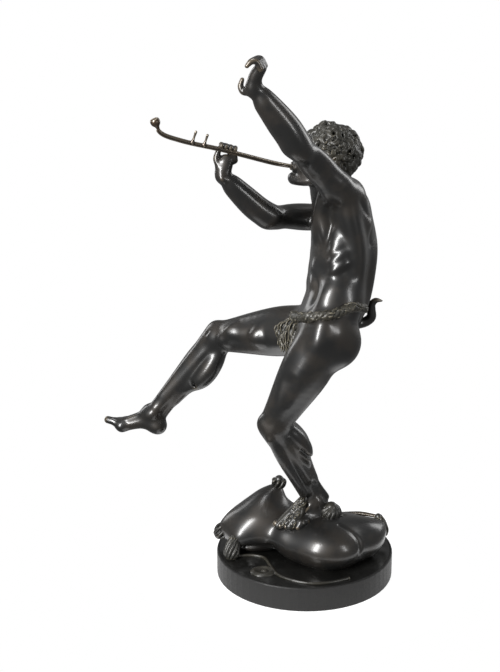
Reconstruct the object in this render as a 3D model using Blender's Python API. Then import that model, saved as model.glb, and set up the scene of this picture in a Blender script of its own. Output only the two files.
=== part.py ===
"""A bronze statuette of a dancing faun who plays a double flute.

He stands on one foot on two tied wineskins, cast with their ground, which is
let into a round plinth.  Metres, +Z up, origin at the centre of the plinth's
underside.  The faun faces -X and his left side faces -Y.
"""
import bpy
import bmesh
import numpy as np

# Driving dimensions, in metres
FIGURE_HEIGHT = 0.500        # the faun's own height, if he stood up straight
PLINTH_DIAMETER = 0.190
PLINTH_HEIGHT = 0.027
PLINTH_BEVEL = 0.0012        # rounding of the plinth's upper and lower edge
RIM_WIDTH = 0.0024           # plinth left standing round the bronze ground
GROUND_THICKNESS = 0.0042
GROUND_CROWN = 0.0014        # rise of the ground from its edge to its middle
PIPE_DIAMETER = 0.0027
PIPE_SPREAD = 0.0025         # between the two pipes' centre lines
BELL_DIAMETER = 0.0100
KEY_DIAMETER = 0.0030        # the two stubs on the flute
KEY_LENGTHS = (0.0125, 0.0115)
CLEARANCE = 0.0003           # gap between touching pieces

# The sculpture is drawn in millimetres on a figure 500 mm tall, with the
# ground at height 27.  One such millimetre is UNIT metres.
UNIT = FIGURE_HEIGHT / 500
DRAWN_GROUND = 27.0

FIGURE_CELL = 1.25           # grid spacing of the clay, in drawn millimetres
FIGURE_TRIANGLES = 5300
SKINS_CELL = 1.5
SKINS_TRIANGLES = 1100

# Joints of the skeleton, in drawn millimetres
HIP_L, KNEE_L, ANKLE_L = (17.5, -52, 292.6), (-34.3, -42, 189.4), (10, -8, 88)
HIP_R, KNEE_R, ANKLE_R = (8, -2, 279), (-91, 50, 253.5), (-166, 56, 162)
SHOULDER_L, ELBOW_L, WRIST_L = (31.5, -27, 434), (-15, -72, 491), (-56, -88, 550)
SHOULDER_R, ELBOW_R, WRIST_R = (31, 76, 378), (-39, 18, 394.5), (-87.5, 0, 444)
HEAD = (15.4, 24, 454.7)

# The flute's middle line, from the mouth to the upturned bell
FLUTE = [(-16.5, 22, 446.4), (-36, 16, 451.6), (-63, 8, 460.6), (-90, 0, 469.6), (-116, -6, 476.6),
         (-130, -9, 481), (-143, -12, 486), (-149.5, -13.5, 491), (-152.5, -14, 497.5)]
STACK = (0.3, -0.35, 0.9)    # from the lower pipe to the upper one
KEY_PLACES = (-117, -105.3)  # where the stubs stand along X, in drawn millimetres
KEY_RISE = (0.32, -0.08, 0.94)


def vec(value):
    return np.array(value, float)


def unit(value):
    value = vec(value)
    return value / np.linalg.norm(value)


def lerp(a, b, t):
    return vec(a) * (1 - t) + vec(b) * t


def smooth_rows(points, spans=4):
    """Rows of numbers read from a smooth curve through the given rows."""
    P = vec(points)
    if len(P) < 3:
        return P
    Q = np.vstack([2 * P[0] - P[1], P, 2 * P[-1] - P[-2]])
    rows = []
    for i in range(1, len(Q) - 2):
        a, b, c, d = Q[i - 1:i + 3]
        for t in np.arange(spans) / spans:
            rows.append(b + 0.5 * ((c - a) * t + (2 * a - 5 * b + 4 * c - d) * t ** 2
                                   + (3 * b - a - 3 * c + d) * t ** 3))
    return np.array(rows + [P[-1]])


# Clay: shapes given by their distance, pressed together with soft seams

class Stroke:
    """A smooth tube through points, with a radius at each, thinned by flat along across."""

    def __init__(self, points, radii, flat=1.0, across=(1, 0, 0), spans=4):
        rows = smooth_rows([[*p, r] for p, r in zip(points, radii)], spans)
        self.radii = np.maximum(rows[:, 3], 0.05)
        axis = unit(across)
        self.squeeze = np.eye(3) + np.outer(axis, axis) * (1 / flat - 1)
        self.points = rows[:, :3] @ self.squeeze
        margin = self.radii[:, None] * max(1.0, flat)
        self.low = rows[:, :3] - margin
        self.high = rows[:, :3] + margin

    def parts(self):
        for i in range(len(self.points) - 1):
            yield i, np.minimum(self.low[i], self.low[i + 1]), np.maximum(self.high[i], self.high[i + 1])

    def distance(self, i, x, y, z):
        x, y, z = (x * row[0] + y * row[1] + z * row[2] for row in self.squeeze)
        a, b = self.points[i], self.points[i + 1]
        x, y, z, d = x - a[0], y - a[1], z - a[2], b - a
        t = np.clip((x * d[0] + y * d[1] + z * d[2]) / max(d @ d, 1e-9), 0, 1)
        off = np.sqrt((x - t * d[0]) ** 2 + (y - t * d[1]) ** 2 + (z - t * d[2]) ** 2)
        return off - (self.radii[i] + t * (self.radii[i + 1] - self.radii[i]))


class Egg:
    """An ellipsoid with its half-axes along the given directions."""

    def __init__(self, centre, half_axes, axes=((1, 0, 0), (0, 1, 0), (0, 0, 1))):
        self.centre = vec(centre)
        self.half = vec(half_axes)
        self.axes = np.array([unit(a) for a in axes])
        reach = np.sqrt(((self.axes * self.half[:, None]) ** 2).sum(0))
        self.low = self.centre[None] - reach
        self.high = self.centre[None] + reach

    def parts(self):
        yield 0, self.low[0], self.high[0]

    def distance(self, i, x, y, z):
        x, y, z = x - self.centre[0], y - self.centre[1], z - self.centre[2]
        along = [x * a[0] + y * a[1] + z * a[2] for a in self.axes]
        near = np.sqrt(sum((v / r) ** 2 for v, r in zip(along, self.half)))
        slope = np.sqrt(sum((v / r ** 2) ** 2 for v, r in zip(along, self.half)))
        return near * (near - 1) / np.maximum(slope, 1e-6)


class Clay:
    """Shapes in the order in which they are added or cut away."""

    def __init__(self):
        self.jobs = []

    def add(self, shape, seam=6.0):
        self.jobs.append((shape, seam, 1))

    def cut(self, shape, seam=3.0):
        self.jobs.append((shape, seam, -1))

    def soften(self, spread):
        """Rounds off all that was added so far, by about spread millimetres."""
        self.jobs.append((None, spread, 0))

    def field(self, cell):
        """Distances on a grid, and the grid's lowest corner."""
        low = np.min([s.low.min(0) for s, _, sign in self.jobs if sign > 0], 0)
        high = np.max([s.high.max(0) for s, _, sign in self.jobs if sign > 0], 0)
        low = np.floor(low / cell - 3) * cell
        count = np.ceil((high - low) / cell).astype(int) + 4
        axes = [(low[k] + cell * np.arange(count[k])).astype(np.float32) for k in range(3)]
        field = np.full(count, 1e3, np.float32)
        for shape, seam, sign in self.jobs:
            if shape is None:
                soften(field, seam / cell)
                continue
            reach = seam + 2 * cell
            window = grid_window(shape.low.min(0) - reach, shape.high.max(0) + reach, low, cell, 0 * count,
                                 count)
            start, stop = window
            if (stop <= start).any():
                continue
            own = np.full(stop - start, 1e3, np.float32)
            for i, part_low, part_high in shape.parts():
                a, b = grid_window(part_low - reach, part_high + reach, low, cell, start, stop)
                if (b <= a).any():
                    continue
                x = axes[0][a[0]:b[0], None, None]
                y = axes[1][None, a[1]:b[1], None]
                z = axes[2][None, None, a[2]:b[2]]
                inner = own[tuple(slice(p, q) for p, q in zip(a - start, b - start))]
                np.minimum(inner, shape.distance(i, x, y, z), out=inner)
            block = field[tuple(slice(p, q) for p, q in zip(start, stop))]
            block[...] = blend(block, own, seam, sign)
        return field, low


def grid_window(low, high, origin, cell, start, stop):
    """The grid points between two corners, kept between start and stop."""
    first = np.clip(np.floor((low - origin) / cell).astype(int), start, stop)
    last = np.clip(np.ceil((high - origin) / cell).astype(int) + 1, start, stop)
    return first, last


def blend(a, b, seam, sign):
    """The union of two distances, or their difference, with a rounded seam."""
    a = a * sign
    h = np.maximum(seam - np.abs(a - b), 0)
    return sign * (np.minimum(a, b) - h * h / (4 * seam))


def soften(field, spread):
    """Smooths the field with small kernels, as one wide bell curve of this many cells would."""
    np.clip(field, -9, 9, out=field)
    left = spread ** 2
    while left > 0.2:
        step = max(1, int(left ** 0.5))
        left -= step * step / 2
        for axis in range(3):
            line = np.moveaxis(field, axis, 0)
            line[step:-step] = line[step:-step] * 0.5 + (line[2 * step:] + line[:-2 * step]) * 0.25


CORNERS = [(i, j, k) for i in (0, 1) for j in (0, 1) for k in (0, 1)]


def pinched_cases():
    """For each pattern of inside corners of a cell: does it hold two sheets of surface?"""
    def pieces(inside):
        left = set(inside)
        found = 0
        while left:
            found += 1
            todo = [left.pop()]
            while todo:
                here = CORNERS[todo.pop()]
                near = {n for n in left if sum(abs(p - q) for p, q in zip(here, CORNERS[n])) == 1}
                left -= near
                todo += near
        return found
    cases = []
    for pattern in range(256):
        inside = [n for n in range(8) if pattern >> n & 1]
        outside = [n for n in range(8) if not pattern >> n & 1]
        cases.append(pieces(inside) > 1 or pieces(outside) > 1)
    return np.array(cases)


def fill_pinches(field, cell):
    """Fills the grid corners where two sheets of the surface would share a point."""
    cases = pinched_cases()
    size = np.array(field.shape) - 1
    pattern = np.zeros(size, np.uint8)
    for n, (i, j, k) in enumerate(CORNERS):
        inside = field[i:size[0] + i, j:size[1] + j, k:size[2] + k] < 0
        pattern |= inside.astype(np.uint8) << n
    cells = np.argwhere(cases[pattern])
    offsets = np.array(CORNERS)
    while len(cells):
        corners = cells[:, None] + offsets[None]
        value = field[tuple(np.moveaxis(corners, 2, 0))]
        value[value < 0] = 1e6
        chosen = np.unique(corners[np.arange(len(cells)), value.argmin(1)], axis=0)
        field[tuple(chosen.T)] = -0.02 * cell
        around = np.unique((chosen[:, None] - offsets[None]).reshape(-1, 3), axis=0)
        around = around[((around >= 0) & (around < size)).all(1)]
        inside = field[tuple(np.moveaxis(around[:, None] + offsets[None], 2, 0))] < 0
        cells = around[cases[(inside << np.arange(8)).sum(1)]]


def surface_net(field, low, cell):
    """Points and quads of the surface: one point in each cell that it crosses."""
    inside = field < 0
    size = np.array(field.shape) - 1
    corner_count = sum(inside[i:size[0] + i, j:size[1] + j, k:size[2] + k].astype(np.uint8) for i, j,
                       k in CORNERS)
    crossed = (corner_count > 0) & (corner_count < 8)
    cells = np.argwhere(crossed)
    number = np.full(size, -1, np.int32)
    number[crossed] = np.arange(len(cells))
    total = np.zeros((len(cells), 3))
    hits = np.zeros(len(cells))
    for first in CORNERS:
        for axis in range(3):
            if first[axis]:
                continue
            step = np.eye(3, dtype=int)[axis]
            a = field[tuple((cells + first).T)]
            b = field[tuple((cells + first + step).T)]
            hit = (a < 0) != (b < 0)
            total[hit] += first + step * (a[hit] / (a[hit] - b[hit]))[:, None]
            hits[hit] += 1
    points = low + (cells + total / hits[:, None]) * cell
    quads = []
    for axis in range(3):
        u, v = np.eye(3, dtype=int)[[(axis + 1) % 3, (axis + 2) % 3]]
        behind = np.take(inside, range(size[axis]), axis)
        ahead = np.take(inside, range(1, size[axis] + 1), axis)
        edges = np.argwhere(behind != ahead)
        turned = ahead[tuple(edges.T)]
        ring = [number[tuple((edges - d).T)] for d in (u + v, v, 0 * u, u)]
        quad = np.stack(ring, 1)
        quad[turned] = quad[turned][:, ::-1]
        quads.append(quad)
    return points, np.concatenate(quads)


# The figure

class Bone:
    """A line from a to b with a front and an outer direction."""

    def __init__(self, a, b, front, outer):
        self.a, self.b = vec(a), vec(b)
        self.along = unit(self.b - self.a)
        self.front = unit(vec(front) - self.along * (vec(front) @ self.along))
        self.outer = np.cross(self.along, self.front)
        self.outer *= np.sign(self.outer @ vec(outer))
        self.axes = (self.front, self.outer, self.along)

    def at(self, t, front=0, outer=0):
        return lerp(self.a, self.b, t) + self.front * front + self.outer * outer


class Trunk:
    """The bent and twisted middle line from the hips to the neck."""
    spine = vec([(18, -27, 292), (28, -17, 322), (35, 5, 362), (32, 20, 400), (28, 26, 426)])
    marks = (0, 0.25, 0.55, 0.85, 1.0)
    hips_left, hips_up = unit((9, -50, 9)), unit((6, 9, 30))
    chest_left, chest_up = unit((-10, -92, 34)), unit((2, 33, 94))

    def axes(self, t):
        t = min(max(t, 0), 1)
        t = t * t * (3 - 2 * t)
        left = unit(lerp(self.hips_left, self.chest_left, t))
        up = lerp(self.hips_up, self.chest_up, t)
        up = unit(up - left * (up @ left))
        return np.cross(left, up), left, up

    def at(self, t, front=0, left=0, up=0):
        middle = vec([np.interp(t, self.marks, self.spine[:, k]) for k in range(3)])
        return middle + vec((front, left, up)) @ np.array(self.axes(t))


def torso(clay):
    trunk = Trunk()
    at = trunk.at
    clay.add(Egg(at(0, 0, 0, -2), (29, 43, 27), trunk.axes(0)), 1)
    waist_front = trunk.axes(0.2)[0]
    clay.add(Stroke([at(0, 2), at(0.18, 1), at(0.32, 0), at(0.5, -1)], (36, 34, 35, 38), 0.76, waist_front),
             8)
    clay.add(Egg(at(0.62, -2, 0, 2), (32, 43, 50), trunk.axes(0.65)), 12)
    chest_front = trunk.axes(0.85)[0]
    clay.add(Stroke([at(0.82, -6, -34), at(0.86, -7), at(0.86, -6, 32)], (19, 26, 22), 0.8, chest_front),
             10)
    arms = ((1, vec(SHOULDER_L), vec(ELBOW_L)), (-1, vec(SHOULDER_R), vec(ELBOW_R)))
    for side, shoulder, elbow in arms:
        back(clay, at, side, shoulder, chest_front)
        belly(clay, trunk, side)
    clay.soften(2.5)
    for side, shoulder, elbow in arms:
        chest(clay, at, side, shoulder, elbow, chest_front)
    hollow = [(19, -44, 432), (22, -42, 421), (23.5, -40, 412), (27, -39, 400)]
    clay.cut(Stroke(hollow, (4.5, 5, 4, 2)), 5)
    groin = [(1.5, -22, 347), (9.3, -37, 339), (6.2, -46, 327), (-3, -48, 313)]
    clay.cut(Stroke(groin, (1.5, 2.4, 2.4, 1.5)), 4)
    clay.cut(Stroke([at(0.1, -38), at(0.35, -41), at(0.6, -43), at(0.85, -39)], (4, 6, 7, 4)), 6)
    clay.cut(Stroke([at(0.25, 37), at(0.45, 36), at(0.62, 35.5)], (4, 3.5, 3)), 5)
    clay.cut(Egg(at(0.235, 31), (2.6, 1.7, 2.8), trunk.axes(0.2)), 2)


# The ribs: height along the trunk, place to the front and place to the side
RIBS = [(0.7, 0, 43.5), (0.636, 3, 43), (0.575, 6, 42), (0.507, 6, 41.5), (0.446, 5, 39.5)]


def chest(clay, at, side, shoulder, elbow, chest_front):
    """The chest muscle, the ribs under the arm and the arch below them."""
    raised = side > 0
    onto_arm = lerp(shoulder, elbow, 0.22) + vec((-6, 4, -7) if raised else (0, -2, -4))
    outer = at(0.86, 15, 35 * side) if raised else at(0.8, 10, 34 * side)
    muscle = [at(0.66, 23, 9 * side), at(0.74, 22, 22 * side), outer, onto_arm]
    clay.add(Stroke(muscle, (9, 11.5, 10.5, 7), 0.66, chest_front), 8)
    collar = [at(0.95, 16, 4 * side), at(0.97, 11, 20 * side), lerp(at(0.95, 2, 34 * side), shoulder, 0.8)]
    clay.add(Stroke(collar, (3.6, 3.2, 4.2)), 7)
    arch = [at(0.42, 6, 35 * side), at(0.47, 14, 31 * side), at(0.55, 22, 19 * side),
            at(0.62, 25, 7 * side)]
    clay.add(Stroke(arch, (4, 4.5, 3.5, 2)), 7)
    clay.soften(1.5)
    for t, front, left in RIBS:
        along = at(t + 0.06, front - 13, (left - 1) * side) - at(t - 0.06, front + 13, (left - 8) * side)
        outward = at(t, 0.25, side) - at(t)
        clay.add(Egg(at(t, front, left * side), (12, 5, 4.6), (along, outward, np.cross(along, outward))),
                 4)


def back(clay, at, side, shoulder, chest_front):
    """The broad muscle from the armpit to the waist, the shoulder blade and the cords of the spine."""
    raised = side > 0
    root = shoulder + (vec((4, -4, -7)) if raised else vec((2, -6, -8)))
    wide = 54.5 if raised else 44
    broad = [root, at(0.86, -11, wide * side), at(0.74, -12, wide * 0.88 * side), at(0.61, -13, 41 * side),
             at(0.46, -15, 33 * side), at(0.3, -18, 21 * side)]
    clay.add(Stroke(broad, (13, 12, 11.5, 10.5, 8.5, 5), 0.9, chest_front), 10)
    teres = [shoulder + (vec((10, 2, -4)) if raised else vec((8, -4, -6))), at(0.87, -21, 41 * side),
             at(0.75, -25, 32 * side)]
    clay.add(Stroke(teres, (11, 10.5, 7)), 9)
    blade = [at(0.9, -26, 19 * side), at(0.78, -29, 23 * side), at(0.68, -28, 26 * side)]
    clay.add(Stroke(blade, (9, 8.5, 5), 0.6, chest_front), 7)
    ridge = [at(0.86, -29, 12 * side), at(0.92, -25, 26 * side),
             lerp(at(0.9, -17, 36 * side), shoulder, 0.6)]
    clay.add(Stroke(ridge, (4, 5, 6)), 7)
    cord = [at(0.04, -22, 9 * side), at(0.2, -26, 10 * side), at(0.4, -28, 11 * side),
            at(0.6, -29, 11 * side),
            at(0.8, -26, 10 * side)]
    clay.add(Stroke(cord, (7, 9, 9, 8, 6)), 7)
    clay.add(Egg(shoulder + (vec((9, 8, -4)) if raised else vec((6, -8, -4))), (13, 13, 14)), 12)
    nape = [at(1.05, -8, 7 * side), at(0.97, -12, 16 * side),
            lerp(at(0.93, -10, 32 * side), shoulder, 0.55)]
    clay.add(Stroke(nape, (10, 10, 9)), 8)


def belly(clay, trunk, side):
    """The flank over the hip bone and the paired muscles of the belly."""
    at = trunk.at
    clay.add(Egg(at(0.2, 3, 27 * side), (19, 15, 24), trunk.axes(0.2)), 12)
    groin = [at(0.12, 12, 33 * side), at(0.04, 22, 24 * side), at(-0.04, 27, 12 * side)]
    clay.add(Stroke(groin, (4, 4.5, 4)), 5)
    for t, front, tall in ((0.52, 24, 9.5), (0.41, 25, 9.5), (0.31, 25, 9), (0.15, 22, 12)):
        clay.add(Egg(at(t, front, 9.5 * side), (6, 9, tall), trunk.axes(t)), 6)


def buttocks(clay):
    clay.add(Egg((28, -46, 279), (25, 22, 27), ((1, -0.25, -0.35), (0.2, 1, -0.1), (0.3, 0, 1))), 9)
    clay.add(Egg((27, -6, 270), (23, 21, 25), ((1, 0.3, -0.4), (-0.2, 1, 0), (0.3, 0, 1))), 9)
    clay.add(Stroke([(14, -66, 304), (10, -70, 288), (4, -64, 268)], (9, 9, 6)), 7)
    clay.cut(Stroke([(58, -27, 292), (56, -27, 272), (44, -28, 252)], (2.5, 3, 3)), 7)


def leg(clay, hip, knee, ankle, front, outer, shin_front):
    t = Bone(hip, knee, front, outer)
    clay.add(Stroke([t.at(0), t.at(0.25, 1, 1), t.at(0.5, 1, 1), t.at(0.78), t.at(1)],
                    (25, 24.5, 22, 17.5, 14.5)), 10)
    clay.add(Stroke([t.at(0.02, 12, 4), t.at(0.3, 14, 3), t.at(0.6, 11, 2), t.at(0.9, 9)], (7, 11, 10, 6)),
             7)
    clay.add(Stroke([t.at(0.1, 4, 12), t.at(0.4, 7, 12), t.at(0.7, 7, 9), t.at(0.93, 7, 7)],
                    (8, 12, 10, 5)), 6)
    clay.add(Stroke([t.at(0.45, 6, -9), t.at(0.7, 6, -10), t.at(0.88, 6, -9)], (7, 9.5, 7)), 5)
    clay.add(Stroke([t.at(0.1, -12, 4), t.at(0.4, -14, 6), t.at(0.75, -10, 8), t.at(1.02, -8, 9)],
                    (11, 11, 7, 3.5)), 6)
    clay.add(Stroke([t.at(0.1, -10, -8), t.at(0.4, -13, -6), t.at(0.75, -10, -8), t.at(1.03, -8, -9)],
                    (12, 11, 7, 3.5)), 6)
    clay.add(Stroke([t.at(-0.05, 0, -12), t.at(0.2, 0, -13), t.at(0.5, -2, -9)], (15, 14, 8)), 8)
    s = Bone(knee, ankle, shin_front, outer)
    cap = unit(t.front + s.front)
    clay.add(Egg(vec(knee) + cap * 11, (6.5, 8, 9), (cap, np.cross(cap, t.along), t.along)), 4)
    for side in (1, -1):
        clay.add(Egg(vec(knee) + s.outer * 8 * side + cap * 2, (10, 7, 10), (cap, s.outer, s.along)), 5)
    clay.add(Stroke([vec(knee) + cap * 12, s.at(0.1, 11), s.at(0.2, 9)], (4, 4.5, 3)), 5)
    clay.add(Stroke([s.at(0), s.at(0.2, 1), s.at(0.5, 1), s.at(0.8), s.at(1)], (13.5, 13, 10.5, 8.4, 8.2)),
             7)
    clay.add(Stroke([s.at(0.05, -8, 6), s.at(0.2, -12, 7), s.at(0.37, -13.5, 7), s.at(0.52, -11, 5)],
                    (7, 10.5, 10.5, 5.5)), 4)
    clay.add(Stroke([s.at(0.05, -8, -6), s.at(0.22, -12.5, -7), s.at(0.4, -14.5, -7),
                     s.at(0.56, -11.5, -5)],
                    (7, 11, 11, 5)), 4)
    clay.add(Stroke([s.at(0.3, -7), s.at(0.55, -8), s.at(0.75, -9)], (10, 9, 5.5)), 5)
    clay.add(Stroke([s.at(0.6, -9), s.at(0.85, -10.5), s.at(1.04, -12)], (5, 3.8, 4.5)), 4)
    clay.add(Stroke([s.at(0.1, 6, 6), s.at(0.3, 7.5, 5), s.at(0.6, 6, 2), s.at(0.9, 5, -2)], (6, 7, 5, 3)),
             4)
    clay.add(Stroke([s.at(0.1, 0, 10), s.at(0.35, -1, 10), s.at(0.7, -4, 7)], (5, 6, 4)), 4)
    clay.add(Stroke([s.at(0.08, 10, -2), s.at(0.4, 9.5, -3), s.at(0.8, 6, -4)], (3.5, 3, 2.5)), 4)
    clay.add(Egg(s.at(1, -2, 8), (5, 4, 6.5), s.axes), 4)
    clay.add(Egg(s.at(0.97, 0, -8), (5.5, 4, 6), s.axes), 4)


def foot(clay, ankle, heel, ball, toe, up, inner):
    """The foot over heel, ball and toe, which lie on the middle line of its sole."""
    ankle, heel, ball, toe = vec(ankle), vec(heel), vec(ball), vec(toe)
    ahead = unit(ball - heel)
    inner = unit(vec(inner) - ahead * (vec(inner) @ ahead))
    lift = np.cross(ahead, inner)
    lift *= np.sign(lift @ vec(up))
    middle = lerp(heel, ball, 0.5)
    clay.add(Egg(heel + lift * 8 + ahead * 2, (9, 8, 9.5), (ahead, inner, lift)), 6)
    clay.add(Stroke([ankle - lift * 2, heel + lift * 9 + ahead * 4], (9, 8)), 6)
    clay.add(Stroke([heel + lift * 6 - inner * 3, middle + lift * 5 - inner * 4,
                     ball + lift * 4.5 - inner * 5],
                    (6.5, 5.5, 5.5)), 6)
    clay.add(Stroke([ankle + ahead * 3, middle + lift * 13 + inner * 2, ball + lift * 6.5 + inner * 3],
                    (9, 8, 6)), 6)
    clay.add(Stroke([heel + lift * 7 + inner * 3, middle + lift * 10 + inner * 4,
                     ball + lift * 5 + inner * 7],
                    (6, 5.5, 6)), 6)
    clay.add(Stroke([ball + lift * 5 - inner * 9, ball + lift * 5.5, ball + lift * 5.5 + inner * 9],
                    (5, 5.5, 6)), 5)
    for k, (thick, reach) in enumerate(((4.3, 1), (3.1, 0.98), (2.9, 0.86), (2.7, 0.74), (2.5, 0.6))):
        root = ball + inner * (9.5 - 4.9 * k) + lift * 5 - ahead * 1.6 * k
        tip = root + (toe - ball) * reach - lift * (5 - thick)
        bend = lerp(root, tip, 0.55) + lift * (1.2 if k == 0 else 2.2)
        clay.add(Stroke([root, bend, tip], (thick + 0.4, thick, thick * 0.95)), 2.5)


def arm(clay, shoulder, elbow, wrist, bicep, outer, inside, bulk=1.0):
    u = Bone(shoulder, elbow, bicep, outer)
    f = Bone(elbow, wrist, inside, outer)

    def muscle(bone, places, radii, seam, share=bulk):
        points = [bone.at(t, front * share, out * share) for t, front, out in places]
        clay.add(Stroke(points, vec(radii) * share), seam)

    muscle(u, ((0, 0, 0), (0.3, 0, 0), (0.7, 0, 0), (1, 0, 0)), (14, 13, 12, 10.8), 8)
    muscle(u, ((0, 3, 4), (0.18, 5, 6), (0.45, 4, 4)), (12, 12, 6), 7)
    muscle(u, ((0, -4, 3), (0.16, -6, 5), (0.42, -4, 4)), (10, 10.5, 6), 7)
    muscle(u, ((0.2, 5, -1), (0.5, 6.5, 0), (0.75, 6, 0), (0.98, 4, 0)), (7, 9, 8, 4), 5)
    muscle(u, ((0.15, -5, -2), (0.45, -7, 0), (0.7, -6, 1), (1, -5, 0)), (7, 8.5, 7.5, 4.5), 5)
    clay.add(Egg(vec(elbow) - (u.front * 6 - u.along * 2) * bulk, vec((5, 6, 6)) * bulk, u.axes), 4)
    sag = 3 if bulk < 1 else -1.5
    muscle(f, ((0, 0, 0), (0.25, -sag, 0), (0.6, -sag, 0), (1, 0, 0)), (10.5, 10.6, 8.8, 7.4), 6, 1)
    muscle(f, ((-0.12, 2, 3), (0.15, 5.5, 4), (0.42, 5, 3), (0.75, 2.5, 2)), (7, 8, 7, 4.5), 10, 1)
    muscle(f, ((0.02, 2, -5), (0.25, 3, -5), (0.55, 2, -3), (0.8, 1, -2)), (7, 7.5, 6.5, 4), 10, 1)
    muscle(f, ((0.05, -4.5, 1), (0.35, -5, 2), (0.7, -3, 2)), (7, 7.5, 5), 10, 1)
    clay.add(Egg(f.at(0.97, -4, -5), (3.8, 3.6, 4.5), f.axes), 4)


def raised_hand(clay):
    """The left hand: palm upright and seen from its edge, fingers closed together and bent forward."""
    wrist, knuckles = vec(WRIST_L), vec((-49.5, -95, 569))
    row = unit((0.3, 0.95, 0.05))
    palm = [wrist + (0, 0, -3), lerp(wrist, knuckles, 0.5), knuckles]
    clay.add(Stroke(palm, (7.3, 7.6, 6.2), 0.85, (0.3, -0.9, 0)), 4)
    for k, reach in enumerate((0.9, 1.0, 0.95, 0.8)):
        root = knuckles + row * (-6.6 + 4.4 * k) + vec((2, 0, 1))
        bent = root + vec((-3.5, -1, 6.5))
        last = bent + vec((-6, -1.5, 0.3)) * reach
        tip = last + vec((-4, -1, -4)) * reach
        clay.add(Stroke([root, bent, last, tip], (3.1, 2.9, 2.7, 2.2)), 1.2)
    thumb = [wrist + (-2, 1, -3), wrist + (-9, 3, -5), wrist + (-12, 4, 0), wrist + (-10.5, 5, 6)]
    clay.add(Stroke(thumb, (5, 3.6, 2.9, 2.1)), 2.5)


def flute_hand(clay):
    """The right hand: thumb and fingers rise on either side of a gap and close on the flute."""
    wrist = vec(WRIST_R)
    clay.add(Stroke([wrist + (0, 0, -3), (-85.5, 2, 451), (-83.5, 3.5, 456)], (6.6, 8.6, 7.6), 0.66,
                    (0.2, 1, 0)), 4)
    clay.add(Stroke([(-90.5, 2, 453), (-93, 3, 459), (-91.5, 4.4, 465), (-90, 4.6, 469.5)],
                    (4, 3.4, 3, 2.4)), 2.2)
    for k in range(4):
        hold = lerp((-87.5, 0.8, 468.8), (-74, 4.8, 464.3), k / 3)
        clay.add(Stroke([(-80 + 1.6 * k, 3 + k, 457),
                         lerp((-79, 8, 464), hold, 0.25 + 0.05 * k) + (2, 2, 0),
                         hold + (0, 4.2, 4.4), hold + (0, -2.4, 4.4)], (4, 2.8, 2.5, 2.2)), 1.8)


class Head:
    """The head's own directions: ahead, to its left, and up."""
    ahead = unit((-0.945, 0.06, 0.30))
    left = unit(np.cross((0.30, 0, 0.945), ahead))
    up = np.cross(ahead, left)
    axes = (ahead, left, up)

    @classmethod
    def at(cls, ahead, left=0, up=0):
        return vec(HEAD) + cls.ahead * ahead + cls.left * left + cls.up * up


def head(clay):
    at, axes = Head.at, Head.axes
    clay.add(Stroke([(26, 26, 406), (20, 25, 424), (17.5, 24, 442)], (21.5, 18, 16.5)), 8)
    clay.add(Egg(at(-7, 0, 10), (27, 21.5, 22), axes), 3)
    clay.add(Egg(at(9, 0, -6), (17, 17.5, 25), axes), 6)
    jaw = [at(-6, 16.5, -14), at(8, 13.5, -24), at(20.5, 4, -30)]
    jaw += [at(20.5, -4, -30), at(8, -13.5, -24), at(-6, -16.5, -14)]
    clay.add(Stroke(jaw, (6, 5.5, 5, 5, 5.5, 6)), 5)
    clay.add(Egg(at(23, 0, -28.5), (5, 6, 4.8), axes), 3.5)
    clay.add(Egg(at(18.5, 0, 15), (7, 14.5, 10), axes), 6)
    for side in (1, -1):
        clay.add(Stroke([at(24, 3 * side, 7), at(23.5, 9 * side, 8), at(18, 15.5 * side, 5)], (3, 3, 2.6)),
                 3)
        clay.add(Egg(at(17, 12.5 * side, -8), (6, 6, 5), axes), 5)
        clay.cut(Egg(at(26.5, 8.5 * side, 1.2), (5.6, 5, 3.6), axes), 3)
        clay.add(Egg(at(20.8, 8.3 * side, 0.8), (4.2, 4.4, 4.2), axes), 0.8)
        clay.add(Stroke([at(24.4, 4.2 * side, 0.6), at(25.7, 8 * side, 3.4), at(22.6, 12.6 * side, 0.9)],
                        (0.9, 1.1, 0.9)), 1)
        clay.add(Stroke([at(24.4, 4.2 * side, 0.2), at(25.1, 8.2 * side, -1.9), at(22.6, 12.6 * side, 0.4)],
                        (0.8, 0.9, 0.8)), 1)
        clay.add(Stroke([at(-3, 20.5 * side, -7), at(-4, 23 * side, -1), at(-7, 25 * side, 5),
                         at(-11, 27 * side, 11)],
                        (3, 4, 3, 1), 0.55, Head.left), 2)
        clay.cut(Egg(at(-2.5, 26 * side), (2.2, 1.6, 3.4), axes), 1)
        clay.add(Egg(at(29, 3.6 * side, -8), (2.8, 2.2, 2.2), axes), 1.6)
    clay.add(Stroke([at(25.5, 0, 6), at(28.5), at(32.5, 0, -6.5)], (2.4, 2.6, 3)), 2.6)
    clay.add(Egg(at(24.4, 0, -16.5), (4, 7.5, 5.5), axes), 4)
    for corner, middle, radius in (((24, 6.6, -17.6), (27.8, 2.2, -15.4), 1.6),
                                   ((24, 5.8, -18.8), (27.2, 2, -20.2), 1.7)):
        lip = [at(*corner), at(*middle), at(middle[0], -middle[1], middle[2]),
               at(corner[0], -corner[1], corner[2])]
        clay.add(Stroke(lip, (1, radius, radius, 1)), 1.2)
    clay.cut(Egg(at(28.5, 0, -17.9), (3.2, 2.2, 1.3), axes), 0.8)


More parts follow.
